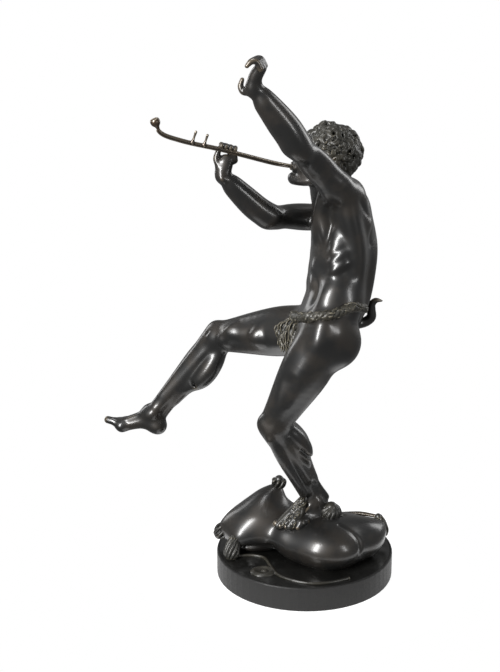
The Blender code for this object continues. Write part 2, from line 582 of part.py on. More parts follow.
def curls(clay, count=150, size=4.6):
    """Short curls over the skull, higher over the brow."""
    rng = np.random.default_rng(3)
    middle, skull = Head.at(-7, 0, 8), vec((26, 22.5, 25))
    turn = np.pi * (3 - 5 ** 0.5)
    for i in range(count):
        up = 1 - 2 * (i + 0.5) / count
        ring = (1 - up * up) ** 0.5
        ahead, left = ring * np.cos(turn * i), ring * np.sin(turn * i)
        face = ahead > 0.3 and up < 0.42 - 0.25 * abs(left)
        cheek = ahead > -0.05 and up < -0.15
        if face or cheek or up < -0.62:
            continue
        out = vec((ahead, left, up)) * skull
        lift = rng.uniform(-0.5, 1) + 4 * max(0, ahead - 0.1) * max(0, up)
        place = middle + (out + unit(out) * lift + rng.normal(0, 0.7, 3)) @ np.array(Head.axes)
        clay.add(Egg(place, vec((1, 1, 0.8)) * size * rng.uniform(0.85, 1.15)), 1.5)


def tail(clay):
    line = [(44, -20, 290), (52, -14, 289.5), (60, -12, 291), (65.5, -12, 296), (65.5, -12, 304),
            (66, -12, 310),
            (70, -12, 314), (76, -12, 313.5)]
    clay.add(Stroke(line, (7, 5.6, 5.2, 5, 4.4, 3.8, 2.8, 1)), 3)


GARLAND = [(-6, -18, 299), (-2, -45, 302), (14, -70, 309), (34, -66, 312), (48, -45, 309), (53, -22, 305),
           (48, 4, 300), (30, 22, 298), (6, 26, 292), (-14, 14, 290), (-12, -4, 294), (-6, -18, 299)]
TUFT = [(-8, -22, 296), (-24, -22, 287), (-24, -26, 274), (-12, -30, 265)]


def garland(clay):
    """A leafy rope about the hips, with a tuft of fleece that hangs at the groin."""
    rope = smooth_rows(GARLAND, 3)
    clay.add(Stroke(GARLAND, [4.2] * len(GARLAND)), 3)
    for i, place in enumerate(rope):
        wave = vec((0, 0, 2 if i % 2 else -2))
        clay.add(Egg(place + wave, (4.6, 4.6, 3.4)), 1.5)
    for i, place in enumerate(smooth_rows(TUFT, 3)):
        clay.add(Egg(place, (6.5, 5.5, 6)), 2)
        clay.add(Egg(place + vec((5, -3 + 2 * (i % 3), -2)), (5, 5, 6)), 2)


def faun_clay():
    clay = Clay()
    torso(clay)
    leg(clay, HIP_L, KNEE_L, ANKLE_L, (-1, -0.15, 0.3), (0, -1, 0), (-1, -0.3, -0.3))
    leg(clay, HIP_R, KNEE_R, ANKLE_R, (-0.3, 0, 1), (0, 1, 0.1), (-1, 0.1, 0.6))
    buttocks(clay)
    arm(clay, SHOULDER_L, ELBOW_L, WRIST_L, (0.5, -0.3, 0.8), (0, -1, 0), (0.5, -0.4, 0.6))
    arm(clay, SHOULDER_R, ELBOW_R, WRIST_R, (0, 0.3, 1), (0, 1, 0), (0.4, 0.2, 0.6), 0.9)
    clay.soften(1.5)
    foot(clay, ANKLE_L, (20, -6, 68), (-9, -23, 66), (-26, -34, 64), (0, 0, 1), (-0.6, 1, 0))
    foot(clay, ANKLE_R, (-157, 53, 145), (-197, 66, 140), (-212, 72, 146), (0, 0, 1), (0, -1, 0.1))
    raised_hand(clay)
    flute_hand(clay)
    head(clay)
    curls(clay)
    tail(clay)
    garland(clay)
    return clay


# The wineskins

def knob(clay, middle, outward, size=7.0):
    """A tied corner: a ridged bundle with a waist where the cord holds it."""
    middle, out = vec(middle), unit(outward)
    side = unit(np.cross(out, (0.3, 0.2, 1)))
    top = np.cross(out, side)
    clay.add(Stroke([middle - out * size, middle + out * size * 0.2], (size * 0.62, size * 0.6)), 2)
    for k in range(7):
        angle = 2 * np.pi * k / 7
        spoke = side * np.cos(angle) + top * np.sin(angle)
        clay.add(Stroke([middle - out * size * 0.3 + spoke * size * 0.45,
                         middle + out * size * 0.4 + spoke * size * 0.7,
                         middle + out * size + spoke * size * 0.55], (1.4, size * 0.3, size * 0.26)), 1)


def wineskins_clay():
    clay = Clay()
    # the nearer skin, under the foot
    clay.add(Egg((22, -18, 46), (58, 44, 25), ((1, 0.1, 0.05), (-0.1, 1, 0), (0, 0, 1))), 1)
    clay.add(Egg((37, -44, 48), (28, 26, 25)), 10)
    clay.add(Stroke([(30, -12, 52), (60, 0, 53), (77, 9, 55)], (25, 17, 6)), 10)
    clay.add(Stroke([(20, -14, 52), (-14, 4, 46), (-38, 22, 38)], (24, 18, 9)), 10)
    clay.add(Stroke([(20, 0, 60), (4, -14, 62), (-22, -26, 57)], (14, 12, 8)), 8)
    clay.cut(Stroke([(58, -30, 74), (64, -46, 56), (56, -60, 38)], (4, 5, 4)), 7)
    # the farther skin, drawn up to a point
    clay.add(Egg((-36, 12, 52), (44, 34, 27), ((1, 0, 0.25), (0, 1, 0), (-0.25, 0, 1))), 6)
    clay.add(Stroke([(-37, 16, 56), (-33, 19, 76), (-30.5, 20, 90)], (25, 13, 4)), 10)
    clay.add(Stroke([(-46, 12, 54), (-72, 9, 52), (-88, 8, 50)], (24, 15, 6)), 10)
    clay.add(Stroke([(-50, 4, 48), (-66, -10, 42), (-74, -19, 38)], (20, 12, 5)), 8)
    clay.add(Stroke([(-20, 24, 50), (14, 44, 46), (34, 56, 40)], (26, 18, 6)), 10)
    knob(clay, (-30, 20, 94), (0, 0, 1), 6.5)
    knob(clay, (-91, 8, 44), (-0.7, 0, -0.7), 8)
    knob(clay, (-77, -22, 36), (-0.4, -0.6, -0.5), 7.5)
    knob(clay, (82, 10, 52), (0.6, 0.1, -0.7), 8)
    knob(clay, (28, -17, 72), (0.3, -0.1, 1), 9.5)
    knob(clay, (36, 60, 38), (0.4, 0.8, -0.3), 6.5)
    # a strap and a small round cup on the ground
    strap = [(-74, -20, 29), (-58, -20, 28.5), (-43, -28, 28.5), (-36, -50, 28.5), (-26, -72, 28.5),
             (0, -85, 28.5),
             (22, -82, 28.5), (44, -72, 28.5)]
    clay.add(Stroke(strap, [2.4] * len(strap)), 1.5)
    clay.add(Egg((-44, -59, 28), (14, 12, 5)), 2)
    clay.cut(Egg((-44, -59, 34), (8, 6.5, 3.5)), 1)
    return clay


# Blender objects

def clear_scene():
    for thing in list(bpy.data.objects):
        bpy.data.objects.remove(thing)


def bronze(name, colour, roughness, metallic):
    material = bpy.data.materials.new(name)
    material.use_nodes = True
    shader = material.node_tree.nodes["Principled BSDF"]
    shader.inputs["Base Color"].default_value = (*colour, 1)
    shader.inputs["Roughness"].default_value = roughness
    shader.inputs["Metallic"].default_value = metallic
    material.diffuse_color = (*colour, 1)
    return material


def to_metres(points):
    return vec(points) * UNIT + (0, 0, PLINTH_HEIGHT - DRAWN_GROUND * UNIT)


def add_object(name, points, faces, material=None):
    mesh = bpy.data.meshes.new(name)
    mesh.from_pydata([tuple(p) for p in points], [], [list(f) for f in faces])
    mesh.validate()
    thing = bpy.data.objects.new(name, mesh)
    bpy.context.scene.collection.objects.link(thing)
    if material:
        mesh.materials.append(material)
    return thing


def bake(thing):
    """Replaces an object's mesh by the one that its modifiers give."""
    evaluated = thing.evaluated_get(bpy.context.evaluated_depsgraph_get())
    old = thing.data
    thing.data = bpy.data.meshes.new_from_object(evaluated)
    thing.modifiers.clear()
    thing.data.name = thing.name
    bpy.data.meshes.remove(old)


def combine(thing, other, operation):
    """Joins other to thing, or cuts it away, and removes other."""
    boolean = thing.modifiers.new(operation.lower(), "BOOLEAN")
    boolean.operation = operation
    boolean.object = other
    boolean.use_self = True
    bake(thing)
    bpy.data.objects.remove(other)


def keep_largest_body(thing):
    """Deletes crumbs: every group of faces but the largest, also one that hangs on by an edge alone."""
    mesh = bmesh.new()
    mesh.from_mesh(thing.data)
    unseen = set(mesh.faces)
    bodies = []
    while unseen:
        body = [unseen.pop()]
        for face in body:
            shared = [edge.link_faces for edge in face.edges if len(edge.link_faces) == 2]
            near = {other for pair in shared for other in pair} & unseen
            unseen -= near
            body += near
        bodies.append(body)
    bodies.sort(key=len)
    for body in bodies[:-1]:
        bmesh.ops.delete(mesh, geom=body, context="FACES")
    mesh.to_mesh(thing.data)
    mesh.free()


def model_clay(name, clay, cell, triangles, material, floor=None):
    """A mesh of the clay's surface, thinned out to about the number of triangles."""
    field, low = clay.field(cell)
    if floor is not None:
        heights = low[2] + cell * np.arange(field.shape[2], dtype=np.float32)
        np.maximum(field, floor - heights, out=field)
    fill_pinches(field, cell)
    points, quads = surface_net(field, low, cell)
    thing = add_object(name, to_metres(points), quads, material)
    thin = thing.modifiers.new("thin", "DECIMATE")
    thin.ratio = triangles / (2 * len(quads))
    bake(thing)
    keep_largest_body(thing)
    return thing


def smooth(thing, angle=50):
    thing.data.shade_smooth()
    thing.data.set_sharp_from_angle(angle=np.radians(angle))


def tube(name, points, radii, sides, shape=(1, 1), wide=(0, 1, 0), material=None):
    """A closed tube along points, its section a circle stretched by shape along wide."""
    points = vec(points)
    rings = []
    for i, point in enumerate(points):
        along = unit(points[min(i + 1, len(points) - 1)] - points[max(i - 1, 0)])
        u = unit(vec(wide) - along * (vec(wide) @ along))
        v = np.cross(along, u)
        for k in range(sides):
            angle = 2 * np.pi * k / sides
            rings.append(point + radii[i] * (u * np.cos(angle) * shape[0] + v * np.sin(angle) * shape[1]))
    faces = [list(range(sides))[::-1], [sides * (len(points) - 1) + k for k in range(sides)]]
    for i in range(len(points) - 1):
        for k in range(sides):
            a, b = sides * i + k, sides * i + (k + 1) % sides
            faces.append([a, b, b + sides, a + sides])
    return add_object(name, rings, faces, material)


def turned(name, profile, segments, material):
    """A solid turned about Z from (radius, height) points, which run from the axis to the axis."""
    mesh = bmesh.new()
    start = [mesh.verts.new((radius, 0, height)) for radius, height in profile]
    edges = [mesh.edges.new(pair) for pair in zip(start, start[1:])]
    bmesh.ops.spin(mesh, geom=start + edges, cent=(0, 0, 0), axis=(0, 0, 1), angle=2 * np.pi,
                   steps=segments,
                   use_merge=True)
    bmesh.ops.remove_doubles(mesh, verts=mesh.verts, dist=1e-6)
    bmesh.ops.recalc_face_normals(mesh, faces=mesh.faces)
    thing = add_object(name, [], [], material)
    mesh.to_mesh(thing.data)
    mesh.free()
    return thing


def make_flute(material):
    """Two thin pipes side by side; the upper one ends in a bell and carries two stubs."""
    drawn = smooth_rows(FLUTE, 3)
    line = to_metres(drawn)
    stack = unit(STACK) * PIPE_SPREAD / 2
    width = np.interp(np.arange(len(line)), (0, 3, len(line) - 1), (0.75, 1, 1)) * PIPE_DIAMETER / 2
    flute = tube("double_flute", line + stack, width, 8, material=material)
    combine(flute, tube("pipe", line[:-2] - stack, width[:-2], 8), "UNION")
    end, rise = line[-1] + stack, unit(line[-1] - line[-3])
    bell = [end + rise * step * BELL_DIAMETER for step in (-0.45, -0.15, 0.12, 0.3)]
    combine(flute, tube("bell", bell, [share * BELL_DIAMETER for share in (0.28, 0.36, 0.5, 0.47)], 12),
            "UNION")
    for place, length in zip(KEY_PLACES, KEY_LENGTHS):
        start = stack + [np.interp(-place, -drawn[:, 0], line[:, k]) for k in range(3)]
        stub = [start + unit(KEY_RISE) * length * share for share in (0, 0.35, 1)]
        combine(flute, tube("key", stub, [share * KEY_DIAMETER for share in (0.62, 0.45, 0.5)], 8), "UNION")
    smooth(flute)


def flute_room():
    """What the flute takes from the hand and the lips: its outline and the clearance."""
    line = to_metres(smooth_rows(FLUTE, 3))[:-4]
    line[0] += unit(line[0] - line[1]) * CLEARANCE * 1.5
    half_wide = PIPE_DIAMETER / 2 + CLEARANCE
    tall = (half_wide + PIPE_SPREAD / 2) / half_wide
    return tube("flute_room", line, [half_wide * 1.04] * len(line), 12, (tall, 1), STACK)


def make_faun(material):
    faun = model_clay("faun", faun_clay(), FIGURE_CELL, FIGURE_TRIANGLES, material)
    combine(faun, flute_room(), "DIFFERENCE")
    keep_largest_body(faun)
    smooth(faun, 60)
    return faun


def foot_room(faun):
    """The faun's standing foot and ankle, grown by the clearance."""
    room = faun.copy()
    room.data = faun.data.copy()
    room.name = "foot_room"
    bpy.context.scene.collection.objects.link(room)
    mesh = bmesh.new()
    mesh.from_mesh(room.data)
    height = to_metres((0, 0, 112))[2]
    cut = bmesh.ops.bisect_plane(mesh, geom=mesh.verts[:] + mesh.edges[:] + mesh.faces[:], dist=1e-6,
                                 plane_co=(0, 0, height), plane_no=(0, 0, 1), clear_outer=True)
    rim = [item for item in cut["geom_cut"] if isinstance(item, bmesh.types.BMEdge)]
    bmesh.ops.contextual_create(mesh, geom=rim)
    bmesh.ops.triangulate(mesh, faces=mesh.faces)
    mesh.normal_update()
    steps = [vertex.normal * CLEARANCE * 1.4 * min(vertex.calc_shell_factor(), 3) for vertex in mesh.verts]
    for vertex, step in zip(mesh.verts, steps):
        vertex.co += step
    mesh.to_mesh(room.data)
    mesh.free()
    return room


def make_ground(faun, material):
    """The two wineskins and the round ground they are cast with."""
    floor = DRAWN_GROUND - (GROUND_THICKNESS - CLEARANCE) * 0.4 / UNIT
    skins = model_clay("wineskins", wineskins_clay(), SKINS_CELL, SKINS_TRIANGLES, material, floor)
    combine(skins, foot_room(faun), "DIFFERENCE")
    keep_largest_body(skins)
    radius = PLINTH_DIAMETER / 2 - RIM_WIDTH - CLEARANCE
    bottom = PLINTH_HEIGHT - GROUND_THICKNESS + CLEARANCE
    profile = [(0, bottom), (radius, bottom), (radius, PLINTH_HEIGHT)]
    for share in (0.85, 0.6, 0.3, 0):
        profile.append((radius * share, PLINTH_HEIGHT + GROUND_CROWN * (1 - share ** 2)))
    combine(skins, turned("ground", profile, 64, material), "UNION")
    smooth(skins)


def make_plinth(material):
    radius, recess = PLINTH_DIAMETER / 2, PLINTH_DIAMETER / 2 - RIM_WIDTH
    bevel = [(1 - np.sin(angle), 1 - np.cos(angle)) for angle in (0, np.pi / 4, np.pi / 2)]
    profile = [(0, 0)]
    profile += [(radius - PLINTH_BEVEL * x, PLINTH_BEVEL * z) for x, z in bevel]
    profile += [(radius - PLINTH_BEVEL * x, PLINTH_HEIGHT - PLINTH_BEVEL * z) for x, z in reversed(bevel)]
    seat = PLINTH_HEIGHT - GROUND_THICKNESS
    profile += [(recess, PLINTH_HEIGHT), (recess, seat), (0, seat)]
    smooth(turned("plinth", profile, 64, material), 40)


def build():
    clear_scene()
    patina = bronze("dark_bronze", (0.016, 0.014, 0.012), 0.28, 1.0)
    pipe_bronze = bronze("flute_bronze", (0.075, 0.055, 0.042), 0.3, 1.0)
    slate = bronze("plinth_bronze", (0.02, 0.021, 0.022), 0.42, 0.6)
    faun = make_faun(patina)
    make_flute(pipe_bronze)
    make_ground(faun, patina)
    make_plinth(slate)


build()
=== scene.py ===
"""The finished look of a bronze statuette of a dancing faun with a double flute.

The clay is modelled as distances on a fine grid and cast into meshes, which
carry their own smooth normals.  World: metres, +Z up, the faun faces -X and
his left side faces -Y, to the camera.
"""
import bpy
import numpy as np
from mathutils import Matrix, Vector


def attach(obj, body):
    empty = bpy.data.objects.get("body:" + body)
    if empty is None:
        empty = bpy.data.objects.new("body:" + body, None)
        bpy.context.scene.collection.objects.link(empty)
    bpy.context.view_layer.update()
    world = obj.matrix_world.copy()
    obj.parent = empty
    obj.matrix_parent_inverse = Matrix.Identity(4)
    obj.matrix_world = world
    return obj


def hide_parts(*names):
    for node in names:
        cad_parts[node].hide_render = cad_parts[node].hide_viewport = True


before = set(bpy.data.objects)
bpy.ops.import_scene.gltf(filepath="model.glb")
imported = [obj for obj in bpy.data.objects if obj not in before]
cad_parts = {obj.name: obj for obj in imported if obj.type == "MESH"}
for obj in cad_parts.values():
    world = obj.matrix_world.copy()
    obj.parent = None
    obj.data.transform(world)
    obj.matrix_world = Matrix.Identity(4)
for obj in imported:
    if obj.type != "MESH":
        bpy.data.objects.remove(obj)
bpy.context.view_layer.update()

# Driving dimensions, in metres
FIGURE_HEIGHT = 0.500        # the faun's own height, if he stood up straight
PLINTH_DIAMETER = 0.190
PLINTH_HEIGHT = 0.027
RIM_WIDTH = 0.0024           # plinth left standing round the bronze ground
GROUND_THICKNESS = 0.0042
GROUND_CROWN = 0.0014        # rise of the ground from its edge to its middle
GROUND_RELIEF = 0.0005
PIPE_DIAMETER = 0.0027
PIPE_SPREAD = 0.0025         # between the two pipes' centre lines
BELL_DIAMETER = 0.0100
KEY_DIAMETER = 0.0030        # the two stubs on the flute
KEY_LENGTHS = (0.0125, 0.0115)
CLEARANCE = 0.0003

# The sculpture is drawn in millimetres on a figure 500 mm tall, with the
# ground at height 27.  One such millimetre is UNIT metres.
UNIT = FIGURE_HEIGHT / 500
DRAWN_GROUND = 27.0
SKINS_FLOOR = DRAWN_GROUND - 1

# Grid spacing of the clay in drawn millimetres, and the most triangles of a piece
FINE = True
FIGURE_CELL = 0.8 if FINE else 1.2
DETAIL_CELL = 0.5 if FINE else 0.8
FLUTE_CELL = 0.35 if FINE else 0.5
FIGURE_TRIANGLES = 190000
DETAIL_TRIANGLES = 110000

# Joints of the skeleton, in drawn millimetres
HIP_L, KNEE_L, ANKLE_L = (17.5, -52, 292.6), (-34.3, -42, 189.4), (10, -8, 88)
HIP_R, KNEE_R, ANKLE_R = (8, -2, 279), (-91, 50, 253.5), (-166, 56, 162)
SHOULDER_L, ELBOW_L, WRIST_L = (31.5, -27, 434), (-15, -72, 491), (-56, -88, 550)
SHOULDER_R, ELBOW_R, WRIST_R = (31, 76, 378), (-39, 18, 394.5), (-87.5, 0, 444)
HEAD = (15.4, 24, 454.7)

# The flute's middle line, from the mouth to the upturned bell
FLUTE = [(-16.5, 22, 446.4), (-36, 16, 451.6), (-63, 8, 460.6), (-90, 0, 469.6), (-116, -6, 476.6),
         (-130, -9, 481), (-143, -12, 486), (-149.5, -13.5, 491), (-152.5, -14, 497.5)]
STACK = (0.3, -0.35, 0.9)    # from the lower pipe to the upper one
KEY_PLACES = (-117, -105.3)  # where the stubs stand along X, in drawn millimetres
KEY_RISE = (0.32, -0.08, 0.94)


def vec(value):
    return np.array(value, float)


def unit(value):
    value = vec(value)
    return value / np.linalg.norm(value)


def lerp(a, b, t):
    return vec(a) * (1 - t) + vec(b) * t


def smooth_rows(points, spans=4):
    """Rows of numbers read from a smooth curve through the given rows."""
    P = vec(points)
    if len(P) < 3:
        return P
    Q = np.vstack([2 * P[0] - P[1], P, 2 * P[-1] - P[-2]])
    rows = []
    for i in range(1, len(Q) - 2):
        a, b, c, d = Q[i - 1:i + 3]
        for t in np.arange(spans) / spans:
            rows.append(b + 0.5 * ((c - a) * t + (2 * a - 5 * b + 4 * c - d) * t ** 2
                                   + (3 * b - a - 3 * c + d) * t ** 3))
    return np.array(rows + [P[-1]])


# Clay: shapes given by their distance, pressed together with soft seams

class Stroke:
    """A smooth tube through points, with a radius at each, thinned by flat along across."""

    def __init__(self, points, radii, flat=1.0, across=(1, 0, 0), spans=4):
        rows = smooth_rows([[*p, r] for p, r in zip(points, radii)], spans)
        self.radii = np.maximum(rows[:, 3], 0.05)
        axis = unit(across)
        self.squeeze = np.eye(3) + np.outer(axis, axis) * (1 / flat - 1)
        self.points = rows[:, :3] @ self.squeeze
        margin = self.radii[:, None] * max(1.0, flat)
        self.low = rows[:, :3] - margin
        self.high = rows[:, :3] + margin

    def parts(self):
        for i in range(len(self.points) - 1):
            yield i, np.minimum(self.low[i], self.low[i + 1]), np.maximum(self.high[i], self.high[i + 1])

    def distance(self, i, x, y, z):
        x, y, z = (x * row[0] + y * row[1] + z * row[2] for row in self.squeeze)
        a, b = self.points[i], self.points[i + 1]
        x, y, z, d = x - a[0], y - a[1], z - a[2], b - a
        t = np.clip((x * d[0] + y * d[1] + z * d[2]) / max(d @ d, 1e-9), 0, 1)
        off = np.sqrt((x - t * d[0]) ** 2 + (y - t * d[1]) ** 2 + (z - t * d[2]) ** 2)
        return off - (self.radii[i] + t * (self.radii[i + 1] - self.radii[i]))


class Egg:
    """An ellipsoid with its half-axes along the given directions."""

    def __init__(self, centre, half_axes, axes=((1, 0, 0), (0, 1, 0), (0, 0, 1))):
        self.centre = vec(centre)
        self.half = vec(half_axes)
        self.axes = np.array([unit(a) for a in axes])
        reach = np.sqrt(((self.axes * self.half[:, None]) ** 2).sum(0))
        self.low = self.centre[None] - reach
        self.high = self.centre[None] + reach

    def parts(self):
        yield 0, self.low[0], self.high[0]

    def distance(self, i, x, y, z):
        x, y, z = x - self.centre[0], y - self.centre[1], z - self.centre[2]
        along = [x * a[0] + y * a[1] + z * a[2] for a in self.axes]
        near = np.sqrt(sum((v / r) ** 2 for v, r in zip(along, self.half)))
        slope = np.sqrt(sum((v / r ** 2) ** 2 for v, r in zip(along, self.half)))
        return near * (near - 1) / np.maximum(slope, 1e-6)


class Clay:
    """Shapes in the order in which they are added or cut away."""

    def __init__(self):
        self.jobs = []

    def add(self, shape, seam=6.0):
        self.jobs.append((shape, seam, 1))

    def cut(self, shape, seam=3.0):
        self.jobs.append((shape, seam, -1))

    def soften(self, spread):
        """Rounds off all that was added so far, by about spread millimetres."""
        self.jobs.append((None, spread, 0))

    def field(self, cell):
        """Distances on a grid, and the grid's lowest corner."""
        low = np.min([s.low.min(0) for s, _, sign in self.jobs if sign > 0], 0)
        high = np.max([s.high.max(0) for s, _, sign in self.jobs if sign > 0], 0)
        low = np.floor(low / cell - 3) * cell
        count = np.ceil((high - low) / cell).astype(int) + 4
        axes = [(low[k] + cell * np.arange(count[k])).astype(np.float32) for k in range(3)]
        field = np.full(count, 1e3, np.float32)
        for shape, seam, sign in self.jobs:
            if shape is None:
                soften(field, seam / cell)
                continue
            reach = seam + 2 * cell
            start, stop = grid_window(shape.low.min(0) - reach, shape.high.max(0) + reach, low, cell,
                                      0 * count, count)
            if (stop <= start).any():
                continue
            own = np.full(stop - start, 1e3, np.float32)
            for i, part_low, part_high in shape.parts():
                a, b = grid_window(part_low - reach, part_high + reach, low, cell, start, stop)
                if (b <= a).any():
                    continue
                x = axes[0][a[0]:b[0], None, None]
                y = axes[1][None, a[1]:b[1], None]
                z = axes[2][None, None, a[2]:b[2]]
                inner = own[tuple(slice(p, q) for p, q in zip(a - start, b - start))]
                np.minimum(inner, shape.distance(i, x, y, z), out=inner)
            block = field[tuple(slice(p, q) for p, q in zip(start, stop))]
            block[...] = blend(block, own, seam, sign)
        return field, low


def grid_window(low, high, origin, cell, start, stop):
    """The grid points between two corners, kept between start and stop."""
    first = np.clip(np.floor((low - origin) / cell).astype(int), start, stop)
    last = np.clip(np.ceil((high - origin) / cell).astype(int) + 1, start, stop)
    return first, last


def blend(a, b, seam, sign):
    """The union of two distances, or their difference, with a rounded seam."""
    a = a * sign
    h = np.maximum(seam - np.abs(a - b), 0)
    return sign * (np.minimum(a, b) - h * h / (4 * seam))


def soften(field, spread):
    """Smooths the field with small kernels, as one wide bell curve of this many cells would."""
    np.clip(field, -9, 9, out=field)
    left = spread ** 2
    while left > 0.2:
        step = max(1, int(left ** 0.5))
        left -= step * step / 2
        for axis in range(3):
            line = np.moveaxis(field, axis, 0)
            line[step:-step] = line[step:-step] * 0.5 + (line[2 * step:] + line[:-2 * step]) * 0.25


CORNERS = [(i, j, k) for i in (0, 1) for j in (0, 1) for k in (0, 1)]


def pinched_cases():
    """For each pattern of inside corners of a cell: does it hold two sheets of surface?"""
    def pieces(inside):
        left = set(inside)
        found = 0
        while left:
            found += 1
            todo = [left.pop()]
            while todo:
                here = CORNERS[todo.pop()]
                near = {n for n in left if sum(abs(p - q) for p, q in zip(here, CORNERS[n])) == 1}
                left -= near
                todo += near
        return found
    cases = []
    for pattern in range(256):
        inside = [n for n in range(8) if pattern >> n & 1]
        outside = [n for n in range(8) if not pattern >> n & 1]
        cases.append(pieces(inside) > 1 or pieces(outside) > 1)
    return np.array(cases)


def fill_pinches(field, cell):
    """Fills the grid corners where two sheets of the surface would share a point."""
    cases = pinched_cases()
    size = np.array(field.shape) - 1
    pattern = np.zeros(size, np.uint8)
    for n, (i, j, k) in enumerate(CORNERS):
        inside = field[i:size[0] + i, j:size[1] + j, k:size[2] + k] < 0
        pattern |= inside.astype(np.uint8) << n
    cells = np.argwhere(cases[pattern])
    offsets = np.array(CORNERS)
    while len(cells):
        corners = cells[:, None] + offsets[None]
        value = field[tuple(np.moveaxis(corners, 2, 0))]
        value[value < 0] = 1e6
        chosen = np.unique(corners[np.arange(len(cells)), value.argmin(1)], axis=0)
        field[tuple(chosen.T)] = -0.02 * cell
        around = np.unique((chosen[:, None] - offsets[None]).reshape(-1, 3), axis=0)
        around = around[((around >= 0) & (around < size)).all(1)]
        inside = field[tuple(np.moveaxis(around[:, None] + offsets[None], 2, 0))] < 0
        cells = around[cases[(inside << np.arange(8)).sum(1)]]


def surface_net(field, low, cell):
    """Points and quads of the surface: one point in each cell that it crosses."""
    inside = field < 0
    size = np.array(field.shape) - 1
    corners = (inside[i:size[0] + i, j:size[1] + j, k:size[2] + k].astype(np.uint8) for i, j, k in CORNERS)
    corner_count = sum(corners)
    crossed = (corner_count > 0) & (corner_count < 8)
    cells = np.argwhere(crossed)
    number = np.full(size, -1, np.int32)
    number[crossed] = np.arange(len(cells))
    total = np.zeros((len(cells), 3))
    hits = np.zeros(len(cells))
    for first in CORNERS:
        for axis in range(3):
            if first[axis]:
                continue
            step = np.eye(3, dtype=int)[axis]
            a = field[tuple((cells + first).T)]
            b = field[tuple((cells + first + step).T)]
            hit = (a < 0) != (b < 0)
            total[hit] += first + step * (a[hit] / (a[hit] - b[hit]))[:, None]
            hits[hit] += 1
    points = low + (cells + total / hits[:, None]) * cell
    quads = []
    for axis in range(3):
        u, v = np.eye(3, dtype=int)[[(axis + 1) % 3, (axis + 2) % 3]]
        behind = np.take(inside, range(size[axis]), axis)
        ahead = np.take(inside, range(1, size[axis] + 1), axis)
        edges = np.argwhere(behind != ahead)
        turned = ahead[tuple(edges.T)]
        ring = [number[tuple((edges - d).T)] for d in (u + v, v, 0 * u, u)]
        quad = np.stack(ring, 1)
        quad[turned] = quad[turned][:, ::-1]
        quads.append(quad)
    return points, np.concatenate(quads)


# The figure

class Bone:
    """A line from a to b with a front and an outer direction."""

    def __init__(self, a, b, front, outer):
        self.a, self.b = vec(a), vec(b)
        self.along = unit(self.b - self.a)
        self.front = unit(vec(front) - self.along * (vec(front) @ self.along))
        self.outer = np.cross(self.along, self.front)
        self.outer *= np.sign(self.outer @ vec(outer))
        self.axes = (self.front, self.outer, self.along)

    def at(self, t, front=0, outer=0):
        return lerp(self.a, self.b, t) + self.front * front + self.outer * outer


class Trunk:
    """The bent and twisted middle line from the hips to the neck."""
    spine = vec([(18, -27, 292), (28, -17, 322), (35, 5, 362), (32, 20, 400), (28, 26, 426)])
    marks = (0, 0.25, 0.55, 0.85, 1.0)
    hips_left, hips_up = unit((9, -50, 9)), unit((6, 9, 30))
    chest_left, chest_up = unit((-10, -92, 34)), unit((2, 33, 94))

    def axes(self, t):
        t = min(max(t, 0), 1)
        t = t * t * (3 - 2 * t)
        left = unit(lerp(self.hips_left, self.chest_left, t))
        up = lerp(self.hips_up, self.chest_up, t)
        up = unit(up - left * (up @ left))
        return np.cross(left, up), left, up

    def at(self, t, front=0, left=0, up=0):
        middle = vec([np.interp(t, self.marks, self.spine[:, k]) for k in range(3)])
        return middle + vec((front, left, up)) @ np.array(self.axes(t))


def torso(clay):
    """Hips, waist and chest, with what pulls over them when one arm is up and one forward."""
    trunk = Trunk()
    at = trunk.at
    clay.add(Egg(at(0, 0, 0, -2), (29, 43, 27), trunk.axes(0)), 1)
    waist_front = trunk.axes(0.2)[0]
    clay.add(Stroke([at(0, 2), at(0.18, 1), at(0.32, 0), at(0.5, -1)], (36, 34, 35, 38), 0.76, waist_front),
             8)
    clay.add(Egg(at(0.62, -2, 0, 2), (32, 43, 50), trunk.axes(0.65)), 12)
    chest_front = trunk.axes(0.85)[0]
    clay.add(Stroke([at(0.82, -6, -34), at(0.86, -7), at(0.86, -6, 32)], (19, 26, 22), 0.8, chest_front),
             10)
    arms = ((1, vec(SHOULDER_L), vec(ELBOW_L)), (-1, vec(SHOULDER_R), vec(ELBOW_R)))
    for side, shoulder, elbow in arms:
        back(clay, at, side, shoulder, chest_front)
        belly(clay, trunk, side)
    clay.soften(2.5)
    for side, shoulder, elbow in arms:
        chest(clay, at, side, shoulder, elbow, chest_front)
    clay.add(Stroke([(15, -26, 432), (13, -18, 412), (12, -14.5, 396), (10, -8, 380)], (5, 7.5, 8, 5)), 6)
    clay.add(Egg((16.5, -16.5, 397), (6.5, 9, 20), ((1, -0.3, 0.1), (0.3, 0.95, -0.3), (-0.1, 0.3, 0.95))),
             4)
    for line in ([(49, -35, 426), (56, -27, 414), (62, -18, 403)],
                 [(66, -12, 396), (63.5, -18, 386), (62, -19, 376)]):
        clay.cut(Stroke(line, (0.8, 1.8, 0.8)), 4)
    hollow = [(19, -44, 432), (22, -42, 421), (23.5, -40, 412), (27, -39, 400)]
    clay.cut(Stroke(hollow, (4.5, 5, 4, 2)), 5)
    groin = [(1.5, -22, 347), (9.3, -37, 339), (6.2, -46, 327), (-3, -48, 313)]
    clay.cut(Stroke(groin, (1.5, 2.4, 2.4, 1.5)), 4)
    clay.cut(Stroke([at(0.1, -38), at(0.35, -41), at(0.6, -43), at(0.85, -39)], (4, 6, 7, 4)), 6)
    clay.cut(Stroke([at(0.25, 37), at(0.45, 36), at(0.62, 35.5)], (4, 3.5, 3)), 5)
    clay.cut(Egg(at(0.235, 31), (2.6, 1.7, 2.8), trunk.axes(0.2)), 2)


# The ribs: height along the trunk, place to the front and place to the side
RIBS = [(0.7, 0, 43.5), (0.636, 3, 43), (0.575, 6, 42), (0.507, 6, 41.5), (0.446, 5, 39.5)]


